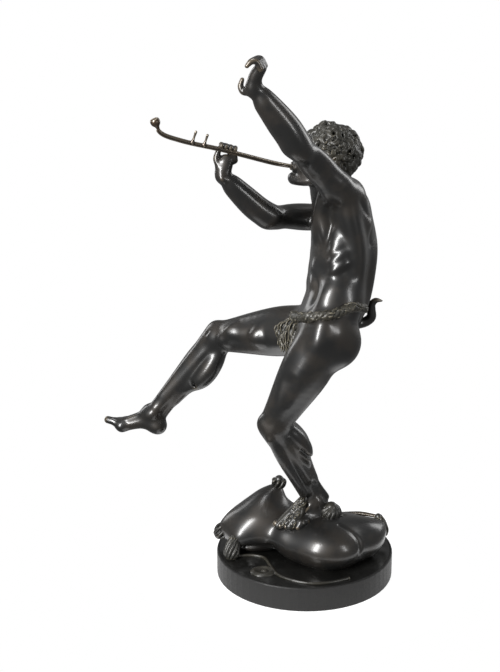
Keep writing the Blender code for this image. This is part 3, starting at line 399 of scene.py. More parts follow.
def chest(clay, at, side, shoulder, elbow, chest_front):
    """The chest muscle, the ribs under the arm and the arch below them."""
    raised = side > 0
    onto_arm = lerp(shoulder, elbow, 0.22) + vec((-6, 4, -7) if raised else (0, -2, -4))
    outer = at(0.86, 15, 35 * side) if raised else at(0.8, 10, 34 * side)
    muscle = [at(0.66, 23, 9 * side), at(0.74, 22, 22 * side), outer, onto_arm]
    clay.add(Stroke(muscle, (9, 11.5, 10.5, 7), 0.66, chest_front), 8)
    collar = [at(0.95, 16, 4 * side), at(0.97, 11, 20 * side), lerp(at(0.95, 2, 34 * side), shoulder, 0.8)]
    clay.add(Stroke(collar, (3.6, 3.2, 4.2)), 7)
    arch = [at(0.42, 6, 35 * side), at(0.47, 14, 31 * side), at(0.55, 22, 19 * side),
            at(0.62, 25, 7 * side)]
    clay.add(Stroke(arch, (4, 4.5, 3.5, 2)), 7)
    clay.soften(1.5)
    for t, front, left in RIBS:
        along = at(t + 0.06, front - 13, (left - 1) * side) - at(t - 0.06, front + 13, (left - 8) * side)
        outward = at(t, 0.25, side) - at(t)
        clay.add(Egg(at(t, front, left * side), (12, 5, 4.6), (along, outward, np.cross(along, outward))),
                 4)


def back(clay, at, side, shoulder, chest_front):
    """The broad muscle from the armpit to the waist, the shoulder blade and the cords of the spine."""
    raised = side > 0
    root = shoulder + (vec((4, -4, -7)) if raised else vec((2, -6, -8)))
    wide = 54.5 if raised else 44
    broad = [root, at(0.86, -11, wide * side), at(0.74, -12, wide * 0.88 * side), at(0.61, -13, 41 * side),
             at(0.46, -15, 33 * side), at(0.3, -18, 21 * side)]
    clay.add(Stroke(broad, (13, 12, 11.5, 10.5, 8.5, 5), 0.9, chest_front), 10)
    teres = [shoulder + (vec((10, 2, -4)) if raised else vec((8, -4, -6))), at(0.87, -21, 41 * side),
             at(0.75, -25, 32 * side)]
    clay.add(Stroke(teres, (11, 10.5, 7)), 9)
    blade = [at(0.9, -26, 19 * side), at(0.78, -29, 23 * side), at(0.68, -28, 26 * side)]
    clay.add(Stroke(blade, (9, 8.5, 5), 0.6, chest_front), 7)
    ridge = [at(0.86, -29, 12 * side), at(0.92, -25, 26 * side),
             lerp(at(0.9, -17, 36 * side), shoulder, 0.6)]
    clay.add(Stroke(ridge, (4, 5, 6)), 7)
    cord = [at(0.04, -22, 9 * side), at(0.2, -26, 10 * side), at(0.4, -28, 11 * side),
            at(0.6, -29, 11 * side), at(0.8, -26, 10 * side)]
    clay.add(Stroke(cord, (7, 9, 9, 8, 6)), 7)
    clay.add(Egg(shoulder + (vec((9, 8, -4)) if raised else vec((6, -8, -4))), (13, 13, 14)), 12)
    nape = [at(1.05, -8, 7 * side), at(0.97, -12, 16 * side),
            lerp(at(0.93, -10, 32 * side), shoulder, 0.55)]
    clay.add(Stroke(nape, (10, 10, 9)), 8)


def belly(clay, trunk, side):
    """The flank over the hip bone and the paired muscles of the belly."""
    at = trunk.at
    clay.add(Egg(at(0.2, -1, 25 * side), (24, 15, 26), trunk.axes(0.2)), 12)
    groin = [at(0.12, 12, 33 * side), at(0.04, 22, 24 * side), at(-0.04, 27, 12 * side)]
    clay.add(Stroke(groin, (4, 4.5, 4)), 5)
    for t, front, tall in ((0.52, 24, 9.5), (0.41, 25, 9.5), (0.31, 25, 9), (0.15, 22, 12)):
        clay.add(Egg(at(t, front, 9.5 * side), (6, 9, tall), trunk.axes(t)), 6)


def buttocks(clay):
    """The seat on both sides, the hip's outer muscle and the fold under the seat."""
    clay.add(Egg((28, -46, 279), (25, 22, 27), ((1, -0.25, -0.35), (0.2, 1, -0.1), (0.3, 0, 1))), 9)
    clay.add(Egg((27, -6, 270), (23, 21, 25), ((1, 0.3, -0.4), (-0.2, 1, 0), (0.3, 0, 1))), 9)
    clay.add(Stroke([(14, -66, 304), (10, -70, 288), (4, -64, 268)], (9, 9, 6)), 7)
    clay.cut(Stroke([(58, -27, 292), (56, -27, 272), (44, -28, 252)], (2.5, 3, 3)), 7)


def muscle(clay, bone, places, radii, seam, bulk=1.0):
    """A tube beside a bone; each place is a share of its length, a way forward and a way outward."""
    points = [bone.at(t, front * bulk, outward * bulk) for t, front, outward in places]
    clay.add(Stroke(points, vec(radii) * bulk), seam)


def leg(clay, hip, knee, ankle, front, outer, shin_front):
    """Thigh, knee cap, shin and calf; front and outer say how the leg is turned."""
    t = Bone(hip, knee, front, outer)
    muscle(clay, t, ((0, 0, 0), (0.25, 1, 1), (0.5, 1, 1), (0.78, 0, 0), (1, 0, 0)),
           (25, 24.5, 22, 17.5, 14.5), 10)
    muscle(clay, t, ((0.02, 12, 4), (0.3, 14, 3), (0.6, 11, 2), (0.9, 9, 0)), (7, 11, 10, 6), 7)
    muscle(clay, t, ((0.1, 4, 12), (0.4, 7, 12), (0.7, 7, 9), (0.93, 7, 7)), (8, 12, 10, 5), 6)
    muscle(clay, t, ((0.45, 6, -9), (0.7, 6, -10), (0.88, 6, -9)), (7, 9.5, 7), 5)
    muscle(clay, t, ((0.1, -12, 4), (0.4, -14, 6), (0.75, -10, 8), (1.02, -8, 9)), (11, 11, 7, 3.5), 6)
    muscle(clay, t, ((0.1, -10, -8), (0.4, -13, -6), (0.75, -10, -8), (1.03, -8, -9)), (12, 11, 7, 3.5), 6)
    muscle(clay, t, ((-0.05, 0, -12), (0.2, 0, -13), (0.5, -2, -9)), (15, 14, 8), 8)
    s = Bone(knee, ankle, shin_front, outer)
    cap = unit(t.front + s.front)
    clay.add(Egg(vec(knee) + cap * 11, (6.5, 8, 9), (cap, np.cross(cap, t.along), t.along)), 4)
    for side in (1, -1):
        clay.add(Egg(vec(knee) + s.outer * 8 * side + cap * 2, (10, 7, 10), (cap, s.outer, s.along)), 5)
    clay.add(Stroke([vec(knee) + cap * 12, s.at(0.1, 11), s.at(0.2, 9)], (4, 4.5, 3)), 5)
    muscle(clay, s, ((0, 0, 0), (0.2, 1, 0), (0.5, 1, 0), (0.8, 0, 0), (1, 0, 0)),
           (13.5, 13, 10.5, 8.4, 8.2), 7)
    muscle(clay, s, ((0.05, -8, 6), (0.2, -12, 7), (0.37, -13.5, 7), (0.52, -11, 5)),
           (7, 10.5, 10.5, 5.5), 4)
    muscle(clay, s, ((0.05, -8, -6), (0.22, -12.5, -7), (0.4, -14.5, -7), (0.56, -11.5, -5)),
           (7, 11, 11, 5), 4)
    muscle(clay, s, ((0.3, -7, 0), (0.55, -8, 0), (0.75, -9, 0)), (10, 9, 5.5), 5)
    muscle(clay, s, ((0.6, -9, 0), (0.85, -10.5, 0), (1.04, -12, 0)), (5, 3.8, 4.5), 4)
    muscle(clay, s, ((0.1, 6, 6), (0.3, 7.5, 5), (0.6, 6, 2), (0.9, 5, -2)), (6, 7, 5, 3), 4)
    muscle(clay, s, ((0.1, 0, 10), (0.35, -1, 10), (0.7, -4, 7)), (5, 6, 4), 4)
    muscle(clay, s, ((0.08, 10, -2), (0.4, 9.5, -3), (0.8, 6, -4)), (3.5, 3, 2.5), 4)
    clay.add(Egg(s.at(1, -2, 8), (5, 4, 6.5), s.axes), 4)
    clay.add(Egg(s.at(0.97, 0, -8), (5.5, 4, 6), s.axes), 4)


def creases(clay):
    """The hollows and folds where the muscles of the legs meet."""
    hollows = (((-25, -77, 244), (-24, -77, 222), 8, 10), ((-42, -63, 194), (-42.5, -63, 190), 3, 7),
               ((-88, 23, 266), (-86, 23.5, 263), 3.6, 5), ((-104, 40, 264), (-106, 42, 259), 1.6, 3))
    for a, b, radius, seam in hollows:
        clay.cut(Stroke([a, b], (radius, radius * 0.8)), seam)
    folds = ([(-18, -52, 177), (-10.5, -50, 168), (-2, -44.5, 158)],
             [(-6, -45, 160), (2, -36, 150), (7, -20, 141)],
             [(-103, 34, 241), (-110, 36, 231), (-116, 37, 223), (-125, 38, 208)],
             [(-125, 38, 208), (-119, 40, 201), (-112, 48, 196)])
    for line in folds:
        clay.cut(Stroke(line, [0.3] + [1.1] * (len(line) - 2) + [0.3]), 4)
    clay.add(Stroke([(-38, -54, 176), (-26, -46, 150), (-12.5, -35, 122), (-3, -23, 100)],
                    (3, 4.5, 4, 3.5)), 6)
    clay.add(Egg((-84, 31, 256), (9, 5, 7)), 5)
    clay.add(Egg((-76, 27, 266), (10, 6, 8)), 6)
    clay.add(Egg((-50, 8, 267), (9, 6, 9)), 6)


def foot(clay, ankle, heel, ball, toe, up, inner, arch=0.0):
    """The foot over heel, ball and toe, which lie on the middle line of its sole."""
    ankle, heel, ball, toe = vec(ankle), vec(heel), vec(ball), vec(toe)
    ahead = unit(ball - heel)
    inner = unit(vec(inner) - ahead * (vec(inner) @ ahead))
    lift = np.cross(ahead, inner)
    lift *= np.sign(lift @ vec(up))
    middle = lerp(heel, ball, 0.5)
    clay.add(Egg(heel + lift * 8 + ahead * 2, (9, 8, 9.5), (ahead, inner, lift)), 6)
    clay.add(Stroke([ankle - lift * 2, heel + lift * 9 + ahead * 4], (9, 8)), 6)
    outer_edge = [heel + lift * 6 - inner * 3, middle + lift * (5 + arch) - inner * 4,
                  ball + lift * 4.5 - inner * 5]
    clay.add(Stroke(outer_edge, (6.5, 5.5, 5.5)), 6)
    clay.add(Stroke([ankle + ahead * 3, middle + lift * 13 + inner * 2, ball + lift * 6.5 + inner * 3],
                    (9, 8, 6)), 6)
    clay.add(Stroke([heel + lift * 7 + inner * 3, middle + lift * 10 + inner * 4,
                     ball + lift * 5 + inner * 7],
                    (6, 5.5, 6)), 6)
    clay.add(Stroke([ball + lift * 5 - inner * 9, ball + lift * 5.5, ball + lift * 5.5 + inner * 9],
                    (5, 5.5, 6)), 5)
    for k in range(4):
        tendon = [ankle + ahead * 7 + lift * 2, middle + lift * 19.5 + inner * (6 - 3 * k),
                  ball + lift * 10.5 + inner * (9 - 4.6 * k)]
        clay.add(Stroke(tendon, (1, 1.6, 1.3)), 2.5)
    for k, (thick, reach) in enumerate(((4.3, 1), (3.1, 0.98), (2.9, 0.86), (2.7, 0.74), (2.5, 0.6))):
        root = ball + inner * (9.5 - 4.9 * k) + lift * 5 - ahead * 1.6 * k
        tip = root + (toe - ball) * reach - lift * (5 - thick)
        bend = lerp(root, tip, 0.55) + lift * (1.2 if k == 0 else 2.2)
        clay.add(Stroke([root, bend, tip], (thick + 0.4, thick, thick * 0.95)), 2.5)


def arm(clay, shoulder, elbow, wrist, bicep, outer, inside, bulk=1.0):
    """Upper arm and forearm; bulk thins the arm that is farther from the camera."""
    u = Bone(shoulder, elbow, bicep, outer)
    f = Bone(elbow, wrist, inside, outer)
    muscle(clay, u, ((0, 0, 0), (0.3, 0, 0), (0.7, 0, 0), (1, 0, 0)), (14, 13, 12, 10.8), 8, bulk)
    muscle(clay, u, ((0, 3, 4), (0.18, 5, 6), (0.45, 4, 4)), (12, 12, 6), 7, bulk)
    muscle(clay, u, ((0, -4, 3), (0.16, -6, 5), (0.42, -4, 4)), (10, 10.5, 6), 7, bulk)
    muscle(clay, u, ((0.2, 5, -1), (0.5, 6.5, 0), (0.75, 6, 0), (0.98, 4, 0)), (7, 9, 8, 4), 5, bulk)
    muscle(clay, u, ((0.15, -5, -2), (0.45, -7, 0), (0.7, -6, 1), (1, -5, 0)), (7, 8.5, 7.5, 4.5), 5, bulk)
    clay.add(Egg(vec(elbow) - (u.front * 6 - u.along * 2) * bulk, vec((5, 6, 6)) * bulk, u.axes), 4)
    sag, rise = (4.5, 0) if bulk < 1 else (-3, 1)
    muscle(clay, f, ((0, 0, 0), (0.25, -sag, 0), (0.6, -sag, 0), (1, 0, 0)),
           (10.8, 10.6, 8.6, 7.4), 6, bulk)
    muscle(clay, f, ((-0.12, 2, 3), (0.15, 5.5 * rise, 4), (0.42, 5 * rise, 3), (0.75, 2.5 * rise, 2)),
           (7, 8, 7, 4.5), 12, bulk)
    muscle(clay, f, ((0.02, 2, -5), (0.25, 3 * rise, -5), (0.55, 2 * rise, -3), (0.8, rise, -2)),
           (7, 7.5, 6.5, 4), 12, bulk)
    muscle(clay, f, ((0.05, -4, 1), (0.35, -4, 2), (0.7, -2.5, 2)), (6.5, 7, 5), 12)
    clay.add(Egg(f.at(0.97, -4, -5), (3.8, 3.6, 4.5), f.axes), 4)


def raised_hand(clay):
    """The left hand: palm upright and seen from its edge, fingers closed together and bent forward."""
    wrist, knuckles = vec(WRIST_L), vec((-49.5, -95, 569))
    row = unit((0.3, 0.95, 0.05))
    palm = [wrist + (0, 0, -3), lerp(wrist, knuckles, 0.5) + (-1.5, 0, 0), knuckles]
    clay.add(Stroke(palm, (7.3, 6.8, 6), 0.85, (0.3, -0.9, 0)), 4)
    for k, reach in enumerate((0.9, 1.0, 0.95, 0.8)):
        root = knuckles + row * (-6.6 + 4.4 * k) + vec((2, 0, 1))
        bent = root + vec((-3.5, -1, 6.5))
        last = bent + vec((-6, -1.5, 0.3)) * reach
        tip = last + vec((-4, -1, -4)) * reach
        clay.add(Stroke([root, bent, last, tip], (3.1, 2.9, 2.7, 2.2)), 1.2)
    thumb = [wrist + (-2, 1, -3), wrist + (-9, 3, -5), wrist + (-12, 4, 0), wrist + (-10.5, 5, 6)]
    clay.add(Stroke(thumb, (5, 3.6, 2.9, 2.1)), 2.5)


def flute_hand(clay):
    """The right hand: thumb and fingers rise on either side of a gap and close on the flute."""
    wrist = vec(WRIST_R)
    clay.add(Stroke([wrist + (0, 0, -3), (-85.5, 2, 451), (-83.5, 3.5, 456)], (6.6, 8.6, 7.6), 0.66,
                    (0.2, 1, 0)), 4)
    clay.add(Stroke([(-90.5, 2, 453), (-93, 3, 459), (-91.5, 4.4, 465), (-90, 4.6, 469.5)],
                    (4, 3.4, 3, 2.4)), 2.2)
    for k in range(4):
        hold = lerp((-87.5, 0.8, 468.8), (-74, 4.8, 464.3), k / 3)
        clay.add(Stroke([(-80 + 1.6 * k, 3 + k, 457),
                         lerp((-79, 8, 464), hold, 0.25 + 0.05 * k) + (2, 2, 0),
                         hold + (0, 4.2, 4.4), hold + (0, -2.4, 4.4)], (4, 2.8, 2.5, 2.2)), 1.8)


class Head:
    """The head's own directions: ahead, to its left, and up."""
    ahead = unit((-0.945, 0.06, 0.30))
    left = unit(np.cross((0.30, 0, 0.945), ahead))
    up = np.cross(ahead, left)
    axes = (ahead, left, up)

    @classmethod
    def at(cls, ahead, left=0, up=0):
        return vec(HEAD) + cls.ahead * ahead + cls.left * left + cls.up * up


def head(clay):
    """Neck, skull, jaw and a plain face with slightly pointed ears."""
    at, axes = Head.at, Head.axes
    clay.add(Stroke([(26, 26, 406), (20, 25, 424), (17.5, 24, 442)], (21.5, 18, 16.5)), 8)
    clay.add(Egg(at(-7, 0, 10), (27, 21.5, 22), axes), 3)
    clay.add(Egg(at(9, 0, -6), (17, 17.5, 25), axes), 6)
    jaw = [at(-6, 16.5, -14), at(8, 13.5, -24), at(20.5, 4, -30)]
    jaw += [at(20.5, -4, -30), at(8, -13.5, -24), at(-6, -16.5, -14)]
    clay.add(Stroke(jaw, (6, 5.5, 5, 5, 5.5, 6)), 5)
    clay.add(Egg(at(23, 0, -28.5), (5, 6, 4.8), axes), 3.5)
    clay.add(Egg(at(18.5, 0, 15), (7, 14.5, 10), axes), 6)
    for side in (1, -1):
        clay.add(Stroke([at(24, 3 * side, 7), at(23.5, 9 * side, 8), at(18, 15.5 * side, 5)], (3, 3, 2.6)),
                 3)
        clay.add(Egg(at(17, 12.5 * side, -8), (6, 6, 5), axes), 5)
        clay.cut(Egg(at(26.5, 8.5 * side, 1.2), (5.6, 5, 3.6), axes), 3)
        clay.add(Egg(at(20.8, 8.3 * side, 0.8), (4.2, 4.4, 4.2), axes), 0.8)
        clay.add(Stroke([at(24.4, 4.2 * side, 0.6), at(25.7, 8 * side, 3.4), at(22.6, 12.6 * side, 0.9)],
                        (0.9, 1.1, 0.9)), 1)
        clay.add(Stroke([at(24.4, 4.2 * side, 0.2), at(25.1, 8.2 * side, -1.9), at(22.6, 12.6 * side, 0.4)],
                        (0.8, 0.9, 0.8)), 1)
        clay.add(Stroke([at(-3, 20.5 * side, -7), at(-4, 23 * side, -1), at(-7, 25 * side, 5),
                         at(-11, 27 * side, 11)],
                        (3, 4, 3, 1), 0.55, Head.left), 2)
        clay.cut(Egg(at(-2.5, 26 * side), (2.2, 1.6, 3.4), axes), 1)
        clay.add(Egg(at(29, 3.6 * side, -8), (2.8, 2.2, 2.2), axes), 1.6)
    clay.add(Stroke([at(25.5, 0, 6), at(28.5), at(32.5, 0, -6.5)], (2.4, 2.6, 3)), 2.6)
    clay.add(Egg(at(24.4, 0, -16.5), (4, 7.5, 5.5), axes), 4)
    for corner, middle, radius in (((24, 6.6, -17.6), (27.8, 2.2, -15.4), 1.6),
                                   ((24, 5.8, -18.8), (27.2, 2, -20.2), 1.7)):
        lip = [at(*corner), at(*middle), at(middle[0], -middle[1], middle[2]),
               at(corner[0], -corner[1], corner[2])]
        clay.add(Stroke(lip, (1, radius, radius, 1)), 1.2)
    clay.cut(Egg(at(28.5, 0, -17.9), (3.2, 2.2, 1.3), axes), 0.8)


# The locks laid out over the skull, and the shape of one: along its flow, above the skull, aside
LOCKS = 300
LOCK = [(-4, -1, 0), (-1, 2, 0.8), (2.4, 3, 1.6), (4.8, 2.5, 0.4), (6, 1.9, -1.8), (4.8, 2.4, -3.2)]


def hair_clay():
    """Tousled locks that flow from the crown and curl at their ends, higher over the brow."""
    clay = Clay()
    rng = np.random.default_rng(3)
    middle, skull = Head.at(-7, 0, 7.5), vec((25, 22.5, 24.5))
    clay.add(Egg(Head.at(-7.5, 0, 8), (25.8, 23, 25), Head.axes), 1)
    crown = unit((-0.3, 0.1, 0.95))
    turn = np.pi * (3 - 5 ** 0.5)
    for i in range(LOCKS):
        up = 1 - 2 * (i + 0.5) / LOCKS
        ring = (1 - up * up) ** 0.5
        out = vec((ring * np.cos(turn * i), ring * np.sin(turn * i), up))
        swirl, size, hand = rng.normal(0, 0.9), rng.uniform(0.75, 1.25), rng.choice((-1, 1))
        lift = rng.uniform(-1, 2.4)
        face = out[0] > 0.3 and up < 0.42 - 0.25 * abs(out[1])
        cheek = out[0] > -0.05 and up < -0.15
        if face or cheek or up < -0.62:
            continue
        lift += 6 * max(0, out[0] - 0.1) * max(0, up) + 1.2 * max(0, -out[0]) * max(0, up + 0.4)
        flow = unit(out * (out @ crown) - crown + 1e-3)
        flow = flow * np.cos(swirl) + np.cross(out, flow) * np.sin(swirl)
        aside = np.cross(out, flow)
        for shift in (-1.2, 1.2):
            rows = [out * skull + flow * a * size + out * (b + lift) + aside * (c * size * hand + shift)
                    for a, b, c in LOCK]
            rows = middle + np.array(rows) @ np.array(Head.axes)
            clay.add(Stroke(rows, vec((1.4, 2, 2.1, 1.8, 1.4, 0.7)) * size, spans=3), 0.4)
    return clay


def tail(clay):
    """The short tail, which curls up behind the back."""
    line = [(44, -20, 290), (52, -14, 289.5), (60, -12, 291), (65.5, -12, 296), (65.5, -12, 304),
            (66, -12, 310), (70, -12, 314), (76, -12, 313.5)]
    clay.add(Stroke(line, (7, 5.6, 5.2, 5, 4.4, 3.8, 2.8, 1)), 3)


LEAVES, BERRIES = 340, 80
TUFT_STRANDS, FLEECE_STRANDS = 150, 260

# The middle lines of the garland and of the tuft below it, in drawn millimetres
GARLAND = [(-13.8, -20, 300), (-12, -32.5, 302.4), (-4.5, -55.4, 310.6), (3.5, -64.3, 313.8),
           (12, -67.8, 316.6), (20.8, -67.4, 317), (31.2, -63.4, 319), (40.5, -58.5, 321), (47.5, -52, 320),
           (55, -38, 314), (56, -20, 308), (51, 4, 302), (32, 21, 299), (6, 24, 294), (-11, 14, 291),
           (-14, -5, 293), (-13.8, -20, 300)]
TUFT = [(-8, -22, 296), (-24, -22, 287), (-24, -26, 274), (-12, -30, 265)]


def garland_clay():
    """A leafy rope about the hips: three wound strands with leaves and berries pressed on."""
    clay = Clay()
    rng = np.random.default_rng(11)
    rope = smooth_rows(GARLAND, 10)
    steps = np.linalg.norm(np.diff(rope, axis=0), axis=1)
    travel = np.concatenate([[0], np.cumsum(steps)])
    ahead = np.gradient(rope, axis=0)
    ahead /= np.linalg.norm(ahead, axis=1, keepdims=True)
    side = np.cross(ahead, (0, 0, 1))
    top = np.cross(side, ahead)
    for k in range(3):
        turn = travel / 15 * 2 * np.pi + k * 2 * np.pi / 3
        rows = rope + (side * np.cos(turn)[:, None] + top * np.sin(turn)[:, None]) * 2.7
        clay.add(Stroke(rows, [2.5] * len(rows), spans=1), 0.8)
    for _ in range(LEAVES):
        i = rng.integers(len(rope))
        turn = rng.uniform(0, 2 * np.pi)
        out = side[i] * np.cos(turn) + top[i] * np.sin(turn)
        lie = ahead[i] * rng.choice((-1, 1)) + np.cross(out, ahead[i]) * rng.uniform(-1.2, 1.2)
        lie = unit(lie + out * 0.25)
        place = rope[i] + out * rng.uniform(3.8, 5.4)
        leaf = (rng.uniform(2.2, 3.6), rng.uniform(1, 1.6), 0.8)
        clay.add(Egg(place, leaf, (lie, np.cross(out, lie), out)), 0.3)
    for _ in range(BERRIES):
        i = rng.integers(len(rope))
        turn = rng.uniform(0, 2 * np.pi)
        place = rope[i] + (side[i] * np.cos(turn) + top[i] * np.sin(turn)) * 4.4
        clay.add(Egg(place, vec((1, 1, 1)) * rng.uniform(0.9, 1.4)), 0.3)
    return clay


def strand(clay, rng, path, thick, wave, seam=0.5):
    """A wavy lock of fleece along a few points."""
    rows = smooth_rows(path, 6)
    ahead = np.gradient(rows, axis=0)
    side = np.cross(ahead, (0.3, -1, 0.2))
    side /= np.linalg.norm(side, axis=1, keepdims=True) + 1e-6
    shares = np.linspace(0, 1, len(rows))
    rows = rows + side * (np.sin(shares * rng.uniform(9, 14) + rng.uniform(0, 6)) * wave)[:, None]
    clay.add(Stroke(rows, thick * (1 - 0.45 * shares), spans=1), seam)


def fleece_clay():
    """The shaggy tuft at the groin and the fleece that lies over the standing foot."""
    clay = Clay()
    rng = np.random.default_rng(7)
    for place in smooth_rows(TUFT, 3):
        clay.add(Egg(place + (1, 2, 0), (5.5, 4.5, 5.5)), 3)
    for _ in range(TUFT_STRANDS):
        share = rng.uniform(0, 1)
        start = lerp((-13, -14, 298), (4, -34, 301), share) + rng.normal(0, 1.5, 3)
        middle = lerp((-29, -20, 287), (-8, -35, 287), share) + rng.normal(0, 2, 3)
        end = lerp((-27, -25, 269), (-8, -36, 261), share) + rng.normal(0, 2.4, 3)
        strand(clay, rng, [start, middle, end], 0.95, 1.2)
    clay.add(Stroke([(-1, -14, 92), (-13, -19, 79), (-29, -27, 67)], (5, 6.5, 4.5)), 2)
    clay.add(Stroke([(-3, -18, 89), (-8, -25, 78), (-17, -32, 68)], (4.5, 6, 4.5)), 2)
    for _ in range(FLEECE_STRANDS):
        share, way = rng.uniform(0, 1, 2)
        start = lerp((-3, -18, 97), (-1, -23, 89), share)
        middle = lerp((-18, -23, 79), (-9, -31, 78), share)
        end = lerp((-35, -29, 65), (-13, -37, 66), share)
        line = smooth_rows([start, middle, end], 8)
        first = int(way * 13)
        rows = line[first:first + 4] + rng.normal(0, 0.6, 3) + rng.normal(0, 0.5, (4, 3))
        clay.add(Stroke(rows, (0.5, 1.1, 1.0, 0.4)), 0.3)
    return clay


def faun_clay():
    """The whole figure: body and limbs smoothed as one, then the crisper parts."""
    clay = Clay()
    torso(clay)
    leg(clay, HIP_L, KNEE_L, ANKLE_L, (-1, -0.15, 0.3), (0, -1, 0), (-1, -0.3, -0.3))
    leg(clay, HIP_R, KNEE_R, ANKLE_R, (-0.3, 0, 1), (0, 1, 0.1), (-1, 0.1, 0.6))
    buttocks(clay)
    arm(clay, SHOULDER_L, ELBOW_L, WRIST_L, (0.5, -0.3, 0.8), (0, -1, 0), (0.5, -0.4, 0.6))
    arm(clay, SHOULDER_R, ELBOW_R, WRIST_R, (0, 0.3, 1), (0, 1, 0), (0.4, 0.2, 0.6), 0.9)
    clay.soften(1.8)
    creases(clay)
    foot(clay, ANKLE_L, (20, -6, 68), (-9, -23, 66), (-26, -34, 64), (0, 0, 1), (-0.6, 1, 0))
    foot(clay, ANKLE_R, (-159, 53, 141), (-197, 66, 140), (-212, 72, 146), (0, 0, 1), (0, -1, 0.1), 4)
    raised_hand(clay)
    flute_hand(clay)
    head(clay)
    tail(clay)
    return clay


# The wineskins

# The tied corners: middle, direction outward, length, width and number of cords
KNOTS = [((-28, 20, 94.5), (0.1, 0, 1), 10, 7, 7),
         ((-89.5, 6, 46), (-0.5, 0, -0.9), 16, 7, 6),
         ((-78, -23, 38), (-0.15, -0.4, -0.8), 20, 7.5, 10),
         ((83, 6, 51), (0.3, -0.1, -0.95), 21, 6, 9),
         ((26.5, -12, 72.5), (0.15, -0.2, 1), 19, 10, 14),
         ((36, 60, 38), (0.4, 0.8, -0.3), 12, 6, 8)]
STRAP = [(-72, -24, 29), (-58, -22, 28.8), (-44, -28, 28.8), (-37, -48, 28.6), (-27, -70, 28.4),
         (0, -84.5, 28), (24, -83, 28), (44, -74, 28)]
HEEL_CORD = [(16, -9, 92), (24, -9, 82), (36, -12, 73), (48, -10, 68)]


def knot(clay, middle, outward, length, width, cords):
    """A tied corner: a bundle of cords along outward, with a waist where it is bound."""
    middle, out = vec(middle), unit(outward)
    side = unit(np.cross(out, (0.3, 0.2, 1)))
    top = np.cross(out, side)
    clay.add(Stroke([middle - out * length * 0.5, middle + out * length * 0.45],
                    (width * 0.6, width * 0.7)), 1)
    for k in range(cords):
        angle = 2 * np.pi * k / cords
        spoke = side * np.cos(angle) + top * np.sin(angle)
        lean = np.cross(out, spoke) * width * 0.35
        rows = []
        for rise, spread, turn in ((-0.5, 0.5, -1), (-0.15, 0.85, 0), (0.3, 0.85, 1), (0.55, 0.45, 1)):
            rows.append(middle + out * length * rise + spoke * width * spread + lean * turn)
        clay.add(Stroke(rows, vec((0.16, 0.24, 0.26, 0.18)) * width), 0.4)


def knots_clay():
    """The bound corners of the skins, the strap, the cords at the heel and the small round cup."""
    clay = Clay()
    for tied in KNOTS:
        knot(clay, *tied)
    clay.add(Stroke(STRAP, [1.7] * len(STRAP)), 1)
    for shift in (-2, 0, 2):
        rows = [vec(place) + (0, shift * share, 0) for place, share in zip(HEEL_CORD, (0.5, 1, 1, 1))]
        clay.add(Stroke(rows, (1, 1.7, 1.8, 1)), 0.8)
    clay.add(Egg((-45, -58, 27.6), (14, 12, 3.6)), 1)
    clay.cut(Egg((-45, -58, 32), (10.5, 8.5, 3.6)), 1)
    clay.add(Egg((-44, -58, 28.4), (3.5, 3, 2)), 1)
    return clay


def wineskins_clay():
    """The two filled skins, without their knots."""
    clay = Clay()
    # the farther skin, drawn up to a point
    clay.add(Egg((-42, 8, 50), (44, 32, 25), ((1, 0, 0.25), (0, 1, 0), (-0.25, 0, 1))), 1)
    clay.add(Stroke([(-45, 9, 58), (-40, 14, 70), (-34.5, 17, 80), (-29, 20, 90)], (27, 21, 14, 6.5)), 12)
    clay.add(Stroke([(-50, 10, 52), (-70, 6, 51), (-87, 6, 49)], (25, 19, 8)), 12)
    clay.add(Stroke([(-52, 2, 50), (-66, -10, 47), (-75, -18, 43)], (22, 14, 4)), 10)
    clay.add(Stroke([(-22, 22, 46), (10, 42, 42), (34, 56, 40)], (22, 15, 5.5)), 10)
    # the nearer skin, under the foot, with a round nose to the front
    clay.add(Egg((32, -8, 44), (48, 38, 25), ((1, 0.1, 0.05), (-0.1, 1, 0), (0, 0, 1))), 3)
    clay.add(Stroke([(36, -20, 45), (60, -14, 45), (74, -3, 48), (82, 6, 52)], (27, 23, 15, 7)), 8)
    clay.add(Stroke([(16, -24, 46), (-8, -25, 46), (-24, -21, 48), (-37, -18, 50)], (27, 21, 14, 7)), 8)
    clay.add(Stroke([(20, 0, 58), (4, -14, 60), (-22, -26, 56)], (15, 12, 8)), 8)
    clay.add(Egg((24, -37, 46), (36, 29, 24), ((1, -0.1, 0), (0.1, 1, 0), (0, 0, 1))), 12)
    clay.soften(4)
    # the crease beside the nose and the ridge along the back
    nose = [(36, -36, 72), (48, -42, 68), (57, -46, 58), (59, -51, 47), (53, -60, 36)]
    clay.cut(Stroke(nose, (1, 1.8, 2.2, 2, 1)), 4)
    clay.cut(Stroke([(-66, -17, 38), (-50, -25, 38), (-34, -26, 40)], (2, 3, 2)), 6)
    clay.add(Stroke([(44, 30, 53), (62, 27, 55), (80, 18, 56)], (4.5, 4, 3), 0.6, (0, 0.3, 1)), 3)
    return clay


# Casting the clay into meshes

def to_metres(points):
    return vec(points) * UNIT + (0, 0, PLINTH_HEIGHT - DRAWN_GROUND * UNIT)


def to_drawn(points):
    return (vec(points) - (0, 0, PLINTH_HEIGHT - DRAWN_GROUND * UNIT)) / UNIT


def sample(field, low, cell, points):
    """Values of the field at points, read between its grid points."""
    place = (points - low) / cell
    corner = np.clip(np.floor(place).astype(int), 0, np.array(field.shape) - 2)
    part = place - corner
    total = np.zeros(len(points))
    for i, j, k in CORNERS:
        share = np.abs(1 - i - part[:, 0]) * np.abs(1 - j - part[:, 1]) * np.abs(1 - k - part[:, 2])
        total += share * field[tuple((corner + (i, j, k)).T)]
    return total


